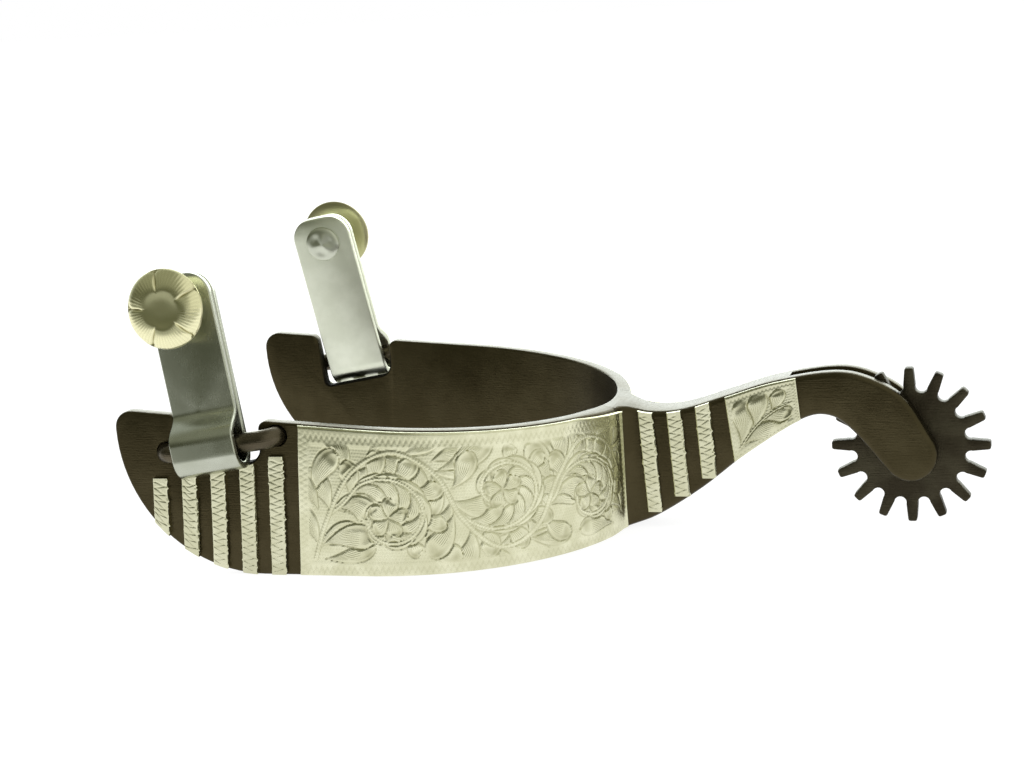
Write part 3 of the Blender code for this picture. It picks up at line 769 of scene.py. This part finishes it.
# Roughness of each strip, and its lightness, which is painted light: the near left strip is darkened as
# painted shade, the far right one lightened as painted light.
STRIP_ROUGHNESS_AND_PAINTED_LIGHT = {"left": (0.26, 0.78), "right": (0.40, 1.34)}
rings = strip_rings()
for side, sign in SIDES:
    stainless = satin(side + "_stainless_painted_light", *STRIP_ROUGHNESS_AND_PAINTED_LIGHT[side])
    shape = bmesh.new()
    bmesh.ops.create_circle(shape, cap_ends=True, segments=len(rings[0]), radius=STRIP_EDGE)
    number = shape.verts.layers.int.new("number")
    for k, vert in enumerate(shape.verts):
        vert[number] = k
        vert.co = rings[0][k]
    edges = [edge for edge in shape.edges if edge.is_boundary]
    for ring in rings[1:]:
        verts, edges = drawn_out(shape, edges)
        for vert in verts:
            vert.co = ring[vert[number]]
    bmesh.ops.contextual_create(shape, geom=edges)
    bmesh.ops.transform(shape, matrix=hanger_place(side, sign), verts=shape.verts)
    bmesh.ops.recalc_face_normals(shape, faces=shape.faces)
    placed(side + "_folded_strip", shape, stainless, side + "_hanger", side + "_hanger")


# Rivets
# A stainless post turned with a neck under the button; its other end is set into a low three-sided dome
# on the hanger's inner leaf.
RIVET_RADIUS = 0.0040
RIVET_HEIGHT = 0.0012
SHAFT_RADIUS = 0.0027
NECK_RADIUS = 0.0032
BUTTON_HEIGHT = 0.029
rivet_paint = satin("rivet_steel", 0.38)


def lathe(profile, steps):
    """A profile of (radius, height) spun about the z axis, its ends closed on the axis."""
    shape = bmesh.new()
    verts = [shape.verts.new((radius, 0, height)) for radius, height in profile]
    edges = [shape.edges.new(pair) for pair in zip(verts, verts[1:])]
    bmesh.ops.spin(
        shape, geom=verts + edges, cent=(0, 0, 0), axis=(0, 0, 1),
        angle=2 * math.pi, steps=steps, use_merge=True,
    )
    bmesh.ops.remove_doubles(shape, verts=shape.verts, dist=1e-7)
    return shape


def post_place(side, sign, out):
    """A place on the button's axis, out from the strip, with z pointing out."""
    turned = Matrix.Rotation(-math.pi / 2, 4, "X")
    return hanger_place(side, sign) @ Matrix.Translation((0, out, BUTTON_HEIGHT)) @ turned


BACK_FACE = -0.0039
FRONT_FACE = -0.00065
NECK_LENGTH = 0.0057
NECK_END = FRONT_FACE + NECK_LENGTH
RIVET_RIM = 0.0002
HAMMERED = 0.0003
rivet_profile = [(0, BACK_FACE - RIVET_HEIGHT)]
for angle in np.linspace(0, math.pi / 2, 13)[1:]:
    height = RIVET_RIM + (RIVET_HEIGHT - RIVET_RIM) * math.cos(angle)
    rivet_profile.append((RIVET_RADIUS * math.sin(angle), BACK_FACE - height))
rivet_profile += [
    (RIVET_RADIUS, BACK_FACE), (SHAFT_RADIUS, BACK_FACE), (SHAFT_RADIUS, FRONT_FACE),
    (NECK_RADIUS, FRONT_FACE), (NECK_RADIUS, NECK_END), (0, NECK_END),
]
for side, sign in SIDES:
    shape = lathe(rivet_profile, 60)
    for vert in shape.verts:
        radius = math.hypot(vert.co.x, vert.co.y)
        if vert.co.z < BACK_FACE - RIVET_RIM / 2:
            turn = math.atan2(vert.co.y, vert.co.x)
            hollow = (0.5 + 0.5 * math.cos(3 * turn + 0.6)) * math.exp(-(((radius - 0.0019) / 0.0011) ** 2))
            vert.co.z += HAMMERED * hollow
    bmesh.ops.transform(shape, matrix=post_place(side, sign, 0), verts=shape.verts)
    bmesh.ops.recalc_face_normals(shape, faces=shape.faces)
    placed(side + "_rivet", shape, rivet_paint, side + "_hanger", side + "_button_post")


# Buttons
# Cast and chased nickel silver: a flower with a smooth hollow in the middle and five petals that roll over
# at the rim, with fine flutes cut into each petal.
BUTTON_RADIUS = 0.008
BUTTON_SILVER = rgba(0.84, 0.81, 0.52)
BUTTON_SHADE = rgba(0.36, 0.33, 0.17)
PETAL_CREASES = [math.radians(angle) for angle in (52, 122, 190, 266, 338)]
FLUTES = 12
BUTTON_PROFILE = [
    (0.00, 2.98), (0.10, 2.98), (0.20, 2.99), (0.28, 3.02), (0.34, 3.07), (0.39, 3.13), (0.43, 3.18),
    (0.47, 3.21), (0.51, 3.205), (0.55, 3.16), (0.60, 3.07), (0.65, 2.96), (0.70, 2.83), (0.75, 2.69),
    (0.80, 2.52), (0.85, 2.31), (0.89, 2.11), (0.925, 1.90), (0.955, 1.69), (0.98, 1.46), (0.995, 1.25),
    (1.0, 1.06), (0.985, 0.86), (0.93, 0.71), (0.80, 0.59), (0.60, 0.50), (0.40, 0.42), (0.0, 0.40),
]


def chased_silver(name):
    """Button silver, darkened in the creases and flutes, and on its underside as painted shade, by the
    attribute on its points.
    """
    silver = Finish(bpy.data.materials.new(name))
    cut = silver.on_points("cut")
    haze = silver.noise(300, 4)
    colour = silver.mix(cut, BUTTON_SILVER, BUTTON_SHADE)
    gloss = 0.25 + (haze - 0.5) * 0.10 + cut * 0.15
    return silver.metal(colour, 1.0, gloss, haze, 0.10, 0.0001)


flower_silver = chased_silver("button_silver")
HEAD_SETBACK = 0.0001
HEAD_BASE = NECK_END - HEAD_SETBACK
MM = 0.001
UNDERSIDE = 0.00127
button_profile = [(share * BUTTON_RADIUS, height * MM) for share, height in BUTTON_PROFILE]
for side, sign in SIDES:
    shape = lathe(button_profile, 240)
    dark = shape.verts.layers.float.new("cut")
    for vert in shape.verts:
        radius = math.hypot(vert.co.x, vert.co.y)
        share = radius / BUTTON_RADIUS
        # The underside is darkened by half: painted shade under the head.
        if vert.co.z < UNDERSIDE:
            vert[dark] = 0.5
        if share < 0.30 or vert.co.z < UNDERSIDE:
            continue
        turn = math.atan2(vert.co.y, vert.co.x) % (2 * math.pi)
        gaps = [(turn - crease + math.pi) % (2 * math.pi) - math.pi for crease in PETAL_CREASES]
        after = min(gap for gap in gaps if gap >= 0)
        before = min(-gap for gap in gaps if gap < 0)
        place = after / (after + before)
        aside = min(after, before) * radius
        outer = ramp(share, 0.44, 0.20)
        crease = math.exp(-((aside / 0.00019) ** 2)) * outer
        swell = (1 - (2 * place - 1) ** 2) * outer
        lap = (place - 0.5) * outer
        fluted = ramp(share, 0.50, 0.20) * ramp(1.0 - share, 0, 0.05)
        flute = (0.5 - 0.5 * math.cos(2 * math.pi * FLUTES * place)) * fluted
        rim = math.exp(-((aside / 0.0008) ** 2)) * ramp(share, 0.8, 0.2)
        vert.co.z += 0.00024 * swell + 0.00020 * lap - 0.00024 * crease - 0.000035 * flute - 0.00012 * outer
        shrink = 1 - 0.045 * rim
        vert.co.x *= shrink
        vert.co.y *= shrink
        vert[dark] = min(0.70 * crease + 0.16 * flute, 1)
    bmesh.ops.transform(shape, matrix=post_place(side, sign, HEAD_BASE), verts=shape.verts)
    bmesh.ops.recalc_face_normals(shape, faces=shape.faces)
    placed(side + "_flower", shape, flower_silver, side + "_hanger", side + "_button_head")


# Band plates
# Sheet nickel silver, bent to the band and soldered on, then engraved by hand: a wriggle-cut border,
# a vine with three coils of leaves and a flower in each, and fine shading lines in every leaf.
SILVER = rgba(0.83, 0.82, 0.60)
SILVER_DULL = rgba(0.70, 0.69, 0.48)
SILVER_CUT = rgba(0.33, 0.32, 0.17)


def engraved_silver(name, roughness, lightness):
    """Nickel silver with darkened cuts and fine shading lines that follow the engraving."""
    silver = Finish(bpy.data.materials.new(name))
    cut = silver.on_points("cut")
    hatch = silver.on_points("hatch")
    lined = silver.on_points("lined")
    tarnish = silver.noise(260, 5)
    grain = silver.noise(4200, 2)
    wave = silver.node("Math", {"operation": "SINE"}, {0: hatch * (2 * math.pi)})
    line = silver.steps(wave, 0.15, 0.95) * lined
    dark = silver.node("Math", {"operation": "MAXIMUM"}, {0: cut, 1: line * 0.50})
    dull = lightened(SILVER_DULL, lightness)
    plain = silver.mix(silver.steps(tarnish, 0.38, 0.70), dull, lightened(SILVER, lightness))
    colour = silver.mix(dark, plain, SILVER_CUT)
    gloss = roughness + (tarnish - 0.5) * 0.10 + dark * 0.18
    return silver.metal(colour, 1.0, gloss, grain * 0.25 - line, 0.40, 0.0001)


class Engraving:
    """Relief cut into a flat sheet, worked out in millimetres on the points of a grid."""

    def __init__(self, along, up):
        self.along = along
        self.up = up
        self.height = np.zeros_like(along)
        self.cut = np.zeros_like(along)
        self.hatch = np.zeros_like(along)
        self.lined = np.zeros_like(along)

    def near(self, points, reach):
        """Grid points close to a run: their index, the fraction run and the distance to its left."""
        low = points.min(0) - reach
        high = points.max(0) + reach
        inside = (self.along > low[0]) & (self.along < high[0]) & (self.up > low[1]) & (self.up < high[1])
        index = np.nonzero(inside)[0]
        gaps = np.column_stack([self.along[index], self.up[index]])[:, None, :] - points[None, :, :]
        nearest = (gaps**2).sum(2).argmin(1)
        tangent = np.gradient(points, axis=0)
        tangent /= np.linalg.norm(tangent, axis=1)[:, None]
        gap = gaps[np.arange(len(index)), nearest]
        left = gap[:, 1] * tangent[nearest, 0] - gap[:, 0] * tangent[nearest, 1]
        over = (gap * tangent[nearest]).sum(1) / np.linalg.norm(points[1] - points[0])
        return index, (nearest + over) / (len(points) - 1), left

    def lobe(self, base, heading, length, width, curl, rise=0.20):
        """A leaf that grows from a narrow foot, swells, and curls over at a round, deeply cut tip."""
        t = np.linspace(0, 1, 36)
        angles = heading + curl * t**1.3
        steps = np.column_stack([np.cos(angles), np.sin(angles)]) * length / (len(t) - 1)
        points = np.array(base) + np.vstack([[0, 0], np.cumsum(steps[:-1], 0)])
        index, run, left = self.near(points, width)
        t = np.clip(run, 0, 1)
        body = 0.06 + 0.94 * np.sin(np.pi / 2 * ramp(t, 0, 0.72)) ** 1.5
        half = width / 2 * body * np.sqrt(1 - ramp(t, 0.72, 0.28) ** 2)
        inside = (np.abs(left) < half) & (run > 0) & (run < 1)
        across = left / np.maximum(half, 1e-6) * np.sign(curl)
        fall = ramp(half - np.abs(left), 0, 0.21 * width)
        edge = ramp(half - np.abs(left), 0, 0.22)
        swell = rise * (0.45 + 0.55 * t) * (1 - (1 - fall) ** 2)
        scoop = np.exp(-(((t - 0.84) / 0.10) ** 2)) * np.clip(1 - (across + 0.25) ** 2, 0, 1)
        trough = np.exp(-(((across + 0.62) / 0.22) ** 2)) * ramp(t, 0.35, 0.3)
        at = index[inside]
        self.height[at] = (swell - 0.20 * scoop - 0.12 * trough - 0.16 * (1 - edge))[inside]
        self.cut[at] = np.clip(0.75 * (1 - edge) + 0.42 * scoop + 0.30 * trough, 0, 1)[inside]
        self.hatch[at] = (across * width * 1.2)[inside]
        lined = ramp(t, 0.05, 0.2) * ramp(0.74 - t, 0, 0.15) * (across > -0.45)
        self.lined[at] = lined[inside]
        beyond = np.abs(left) - half
        rim = (beyond >= 0) & (beyond < 0.20) & (run > 0) & (run < 1)
        at = index[rim]
        depth = ((1 - beyond / 0.20) * ramp(t, 0, 0.2))[rim]
        self.height[at] = np.minimum(self.height[at], -0.15 * depth)
        self.cut[at] = np.maximum(self.cut[at] * (1 - depth), 0.85 * depth)
        self.lined[at] = 0

    def leaves(self, stem, side, spans, spread, curl, rise=0.20):
        """Leaves along one side of a stem, 1 for its left: each is (fraction, length, width)."""
        for t, length, width in spans:
            i = min(max(int(t * (len(stem) - 1)), 1), len(stem) - 2)
            ahead = stem[i + 1] - stem[i - 1]
            heading = math.atan2(ahead[1], ahead[0]) + side * spread
            self.lobe(stem[i], heading, length, width, side * curl, rise)

    def stem(self, points, width, bead=0.62):
        """A stem: two cuts with two rows of punched dots between them."""
        index, run, left = self.near(points, width + 0.3)
        total = np.linalg.norm(np.diff(points, axis=0), axis=1).sum()
        inside = (np.abs(left) < width / 2 + 0.12) & (run > 0) & (run < 1)
        dots = np.abs(((run * total / bead) % 1.0) - 0.5) * bead
        pit = np.clip(1 - np.hypot(dots, np.abs(np.abs(left) - width * 0.21)) / 0.17, 0, 1)
        cut = np.clip(1 - np.abs(np.abs(left) - width / 2) / 0.13, 0, 1)
        at = index[inside]
        self.height[at] = (0.03 - 0.14 * cut - 0.10 * pit)[inside]
        self.cut[at] = np.maximum(0.7 * cut, 0.55 * pit)[inside]
        self.lined[at] = 0

    def dots(self, pitch):
        """Punched ground: staggered rows of small pits."""
        row = np.floor(self.up / pitch)
        x = (self.along / pitch + 0.5 * (row % 2)) % 1.0
        y = (self.up / pitch) % 1.0
        pit = np.clip(1 - np.hypot(x - 0.5, y - 0.5) / 0.40, 0, 1)
        self.height -= 0.05 + 0.05 * pit
        self.cut = np.maximum(self.cut, 0.05 + 0.20 * pit)

    def wriggle(self, run, offset, pitch, reach, where, depth=0.10, shade=0.38):
        """A wriggle cut: a zig-zag of short strokes, deepest at their ends."""
        wave = np.abs(((run / pitch) % 1.0) * 2 - 1)
        slope = math.hypot(1, 2 * reach / pitch)
        away = np.abs(offset - reach * (wave - 0.5)) / slope
        ends = 0.55 + 0.9 * np.abs(wave - 0.5)
        stroke = np.clip(1 - away / 0.23, 0, 1) * where * ends
        self.height -= depth * stroke
        self.cut = np.maximum(self.cut, shade * stroke)

    def border(self, width, long, tall, pitch, cap=0.0):
        """Clears a strip round the edge and wriggle-cuts it, leaving a plain cap along the top."""
        sides = np.minimum(self.along, long - self.along)
        ends = np.minimum(self.up, tall - self.up - cap)
        edge = np.minimum(sides, ends)
        strip = edge < width
        inside = ramp(edge, width, 0.9)
        self.height *= inside
        self.cut *= inside
        self.lined[strip] = 0
        level = strip & (ends <= sides)
        self.wriggle(self.along, edge - width * 0.55, pitch, width * 0.55, level, 0.065, 0.26)
        self.wriggle(self.up, edge - width * 0.55, pitch, width * 0.55, strip & ~level, 0.035, 0.16)
        rim = np.minimum(sides, np.minimum(self.up, tall - self.up))
        self.height -= 0.25 * np.clip(1 - rim / 0.30, 0, 1) ** 2


# Plan of the spur's +Y face from the arm's end to the rowel, with its running length.
heel_turn = np.linspace(math.pi / 2, join, 200)
root_turn = np.linspace(math.pi + join, 1.5 * math.pi, 40)[1:]
heel = np.column_stack([HEEL_CENTRE_X + OUTER_DEPTH * np.cos(heel_turn), OUTER_WIDTH * np.sin(heel_turn)])
fillet_centre = (fillet_x, HALF_SHANK + ROOT_FILLET)
root = fillet_centre + ROOT_FILLET * np.column_stack([np.cos(root_turn), np.sin(root_turn)])
path = np.vstack([[(body_low.x, OUTER_WIDTH)], heel, root, [(body_high.x, HALF_SHANK)]])
path_run = running_length(path)


def on_side(run, z, depth, sign):
    """Places on the spur's side face, out from it by depth."""
    spots = point_at(run, path_run, path)
    ahead = point_at(run + NEARBY, path_run, path) - point_at(run - NEARBY, path_run, path)
    size = np.hypot(*ahead)
    x = spots[0] - ahead[1] / size * depth
    y = spots[1] + ahead[0] / size * depth
    return np.column_stack([x, sign * y, z])


class Sheet:
    """A grid that fills the outline of a CAD overlay, measured along the spur's side and up."""

    def __init__(self, node, pitch):
        verts = np.array([vert.co[:] for vert in frame["nodes"][node].data.vertices])
        run = np.interp(verts[:, 0], path[:, 0], path_run)
        points = np.column_stack([run, verts[:, 2]])
        unit = (points - points.min(0)) / np.ptp(points, axis=0)
        corners = [[points[(unit @ (along, up)).argmin()] for along in (1, -1)] for up in (1, -1)]
        (lower_left, lower_right), (upper_left, upper_right) = corners
        self.long = (lower_right[0] - lower_left[0] + upper_right[0] - upper_left[0]) / 2 / MM
        self.tall = (upper_left[1] - lower_left[1] + upper_right[1] - lower_right[1]) / 2 / MM
        columns = max(round(self.long * MM / pitch), 4)
        rows = max(round(self.tall * MM / pitch), 4)
        self.shape = bmesh.new()
        bmesh.ops.create_grid(self.shape, x_segments=columns, y_segments=rows, size=0.5)
        bmesh.ops.translate(self.shape, verts=self.shape.verts, vec=(0.5, 0.5, 0))
        self.u, self.v = np.array([vert.co[:2] for vert in self.shape.verts]).T
        self.edges = []
        for left, right in corners:
            chord = right - left
            share = (points - left) @ chord / (chord @ chord)
            lift = points[:, 1] - left[1] - share * chord[1]
            near = (np.abs(lift) < 0.25 * self.tall * MM) & (share > -1e-6) & (share < 1 + 1e-6)
            order = np.argsort(share[near])
            self.edges.append((left, chord, share[near][order], lift[near][order]))
        self.work = Engraving(self.u * self.long, self.v * self.tall)

    def at(self, u):
        """Running length and height of the grid's points, between the outline's lower and upper edges."""
        ends = []
        for start, chord, share, lift in self.edges:
            ends.append([start[0] + u * chord[0], start[1] + u * chord[1] + np.interp(u, share, lift)])
        return [a + (b - a) * self.v for a, b in zip(*ends)]

    def close(self, face, back, sign, ragged=0.0, drop=0.0):
        """Lifts the grid to its engraved face, then closes it with a rim and a plain back."""
        shape = self.shape.copy()
        run, z = self.at(self.u + ragged)
        z = z - drop
        faces = on_side(run, z, face + self.work.height * 0.85 * MM, sign)
        backs = on_side(run, z, np.full(len(z), back), sign)
        where = shape.verts.layers.float_vector.new("where")
        layers = []
        for name in ("cut", "hatch", "lined"):
            layers.append((shape.verts.layers.float.new(name), getattr(self.work, name)))
        for k, vert in enumerate(shape.verts):
            vert.co = faces[k]
            vert[where] = (self.u[k], self.v[k], k)
            for layer, values in layers:
                vert[layer] = values[k]
        rim = [edge for edge in shape.edges if edge.is_boundary]
        behind, _ = drawn_out(shape, rim)
        spare = []
        for vert in behind:
            vert.co = backs[round(vert[where].z)]
            if 1e-6 < vert[where].y < 1 - 1e-6:
                spare.append(vert)
        bmesh.ops.dissolve_verts(shape, verts=spare)
        long_edges = []
        for edge in shape.edges:
            if edge.is_boundary and abs(edge.verts[0][where].y - edge.verts[1][where].y) < 1e-6:
                long_edges.append(edge)
        bmesh.ops.bridge_loops(shape, edges=long_edges)
        bmesh.ops.recalc_face_normals(shape, faces=shape.faces)
        return shape


PLATE_FACE = 0.00085
SOLDER_LINE = -0.00004
CORNER_DROP = 0.0007
plate = Sheet("left_band_plate", 0.00019)
work = plate.work
LAYOUT_SIZE = (72, 29)
stretch = np.array([plate.long, plate.tall]) / LAYOUT_SIZE
work.dots(0.62)


def winding(start, centre, first, turn):
    """A stem that leaves start and winds in about a centre."""
    points = [start]
    for k in range(15):
        angle = math.radians(first + turn * k / 14)
        radius = 8.9 - 6.7 * k / 14
        points.append((centre[0] + radius * math.cos(angle), centre[1] + radius * math.sin(angle)))
    return curve(np.array(points) * stretch)


VINE = [
    (3.2, 3.2), (5.6, 11.0), (10.5, 20.5), (18.5, 25.0), (26.5, 20.5), (31.5, 11.0),
    (38.5, 4.4), (46.0, 7.6), (51.0, 17.5), (57.0, 24.6), (64.5, 23.0), (69.0, 15.0),
]
COILS = [
    ((6.0, 12.0), (17.6, 11.8), 160, -1),
    ((30.6, 12.8), (39.2, 16.6), 222, 1),
    ((48.4, 11.8), (59.0, 12.2), 172, -1),
]
FIELD_LEAVES = [
    (3.0, 16.0, 80, 10.0, 4.6, -1.0), (4.0, 13.0, 110, 9.0, 4.0, 1.0), (5.0, 3.4, 2, 11.0, 3.4, 0.5),
    (4.6, 6.0, 28, 11.5, 5.0, -0.9), (26.0, 9.0, -75, 8.5, 4.6, 1.2), (29.8, 12.5, -105, 10.0, 5.0, -0.8),
    (25.5, 23.0, 30, 9.0, 3.8, -0.9), (27.0, 21.5, 14, 12.5, 5.4, 0.8), (29.4, 17.5, 42, 8.5, 4.4, 1.1),
    (44.0, 5.4, -18, 10.5, 4.2, 0.8), (47.6, 9.4, -62, 8.0, 4.2, 1.1), (49.8, 15.0, 104, 12.0, 5.2, 0.7),
    (51.6, 19.0, 76, 9.5, 4.6, 0.9), (66.2, 21.5, 30, 7.5, 4.0, 1.2), (68.6, 14.0, -88, 10.5, 4.4, 0.9),
    (66.0, 3.2, 158, 11.0, 4.4, 0.7), (69.0, 5.6, 118, 8.0, 3.8, 1.0),
]
OUTER_LEAVES = [
    (0.12, 7.0, 4.2), (0.22, 7.0, 4.2), (0.32, 6.8, 4.2), (0.42, 6.4, 4.0), (0.52, 5.8, 3.6),
    (0.62, 4.8, 3.2),
]
INNER_LEAVES = [
    (0.05, 9.0, 4.8), (0.13, 10.5, 5.4), (0.22, 11.0, 5.6), (0.31, 10.6, 5.6), (0.40, 9.8, 5.2),
    (0.50, 8.8, 4.8), (0.61, 7.4, 4.4), (0.73, 6.0, 3.8), (0.86, 4.6, 3.2),
]
vine = curve(np.array(VINE) * stretch, 260)
vine_leaves = [(0.03 + 0.065 * k, 9.5, 4.6) for k in range(15)]
for way in (1, -1):
    work.leaves(vine, way, vine_leaves, 0.55, 1.2)
for x, y, heading, length, width, curl in FIELD_LEAVES:
    work.lobe(np.array([x, y]) * stretch, math.radians(heading), length, width, curl)
for start, centre, first, way in COILS:
    coil = winding(start, centre, first, way * 440)
    work.leaves(coil, -way, OUTER_LEAVES, 0.30, 1.6)
    work.leaves(coil, way, INNER_LEAVES, 0.12, 2.1)
    work.stem(coil, 0.75)
    for k in range(5):
        work.lobe(np.array(centre) * stretch, math.radians(72 * k + 20), 3.9, 3.3, 0.8 * way)
work.stem(vine, 0.9)
work.height *= 0.4 + 0.6 * ramp(plate.long - work.along, 0, 9)
work.border(2.1, plate.long, plate.tall, 1.15, 0.7)
silver_paint = engraved_silver("engraved_silver", 0.24, 0.93)
sloped = CORNER_DROP * ramp(plate.u, 0.8, 0.2) * plate.v
for side, sign in SIDES:
    shape = plate.close(PLATE_FACE, SOLDER_LINE, sign, 0.0, sloped)
    placed(side + "_engraved_plate", shape, silver_paint, "frame", side + "_band_plate")


# Bars
# Strips of the same nickel silver soldered across the arm and the shank. Each is roughened by one long
# wriggle cut, and its edge away from the toe is left with the burr of the shears.
BAR_FACE = 0.00080
BAR_PITCH = 0.00013
BAR_ZIGZAG = 1.45
bar_paint = engraved_silver("bar_silver", 0.24, 0.84)
bars = [f"arm_bar_{k}" for k in range(1, 6)] + [f"shank_bar_{k}" for k in range(1, 4)]
for number, bar in enumerate(bars):
    chance = np.random.default_rng(40 + number)
    strip = Sheet("left_" + bar, BAR_PITCH)
    work = strip.work
    phase = chance.uniform(0, BAR_ZIGZAG)
    sway = 0.10 * np.sin(work.up * 1.9 + number) + 0.06 * np.sin(work.up * 4.3 + 2 * number)
    inside = np.minimum(work.up, strip.tall - work.up) > 0.7
    across = work.along - strip.long * 0.47
    work.wriggle(work.up + phase + sway, across, BAR_ZIGZAG, strip.long * 0.66, inside, 0.08, 0.24)
    edge = np.minimum(work.along, strip.long - work.along)
    work.height -= 0.16 * np.clip(1 - edge / 0.28, 0, 1) ** 2
    knots = np.arange(0, strip.tall + 1.4, 0.34)
    burr = np.clip(chance.normal(-0.04, 0.24, len(knots)), -0.06, 0.50)
    nicks = np.clip(chance.normal(-0.10, 0.10, len(knots)), -0.03, 0.20)
    right = np.interp(work.up, knots, burr) * ramp(strip.u, 0.82, 0.18)
    left = np.interp(work.up, knots, nicks) * ramp(0.12 - strip.u, 0, 0.12)
    work.height += 0.10 * np.abs(right)
    for side, sign in SIDES:
        shape = strip.close(BAR_FACE, SOLDER_LINE, sign, (right - left) / strip.long)
        placed(f"{side}_cut_{bar}", shape, bar_paint, "frame", f"{side}_{bar}")


# Shank plates
# A small sheet of nickel silver on each side of the shank, engraved with one spray of leaves inside a
# wriggle-cut border.
spray_paint = engraved_silver("spray_silver", 0.24, 0.82)
spray = Sheet("left_shank_plate", 0.00015)
work = spray.work
work.dots(0.62)
rise = spray.tall / 11
branch = curve([(1.5, 1.5 * rise), (5.0, 3.6 * rise), (9.0, 5.0 * rise), (13.4, 5.4 * rise)])
work.leaves(branch, 1, [(0.02, 8.8, 4.8), (0.30, 7.2, 4.3), (0.62, 5.2, 3.4)], 0.46, 1.2, 0.34)
work.leaves(branch, -1, [(0.04, 10.0, 4.6), (0.44, 7.0, 3.6)], 0.24, 1.0, 0.34)
work.stem(branch, 0.5)
work.border(0.9, spray.long, spray.tall, 0.80, 0.5)
for side, sign in SIDES:
    shape = spray.close(BAR_FACE, SOLDER_LINE, sign)
    placed(side + "_engraved_spray", shape, spray_paint, "frame", side + "_shank_plate")
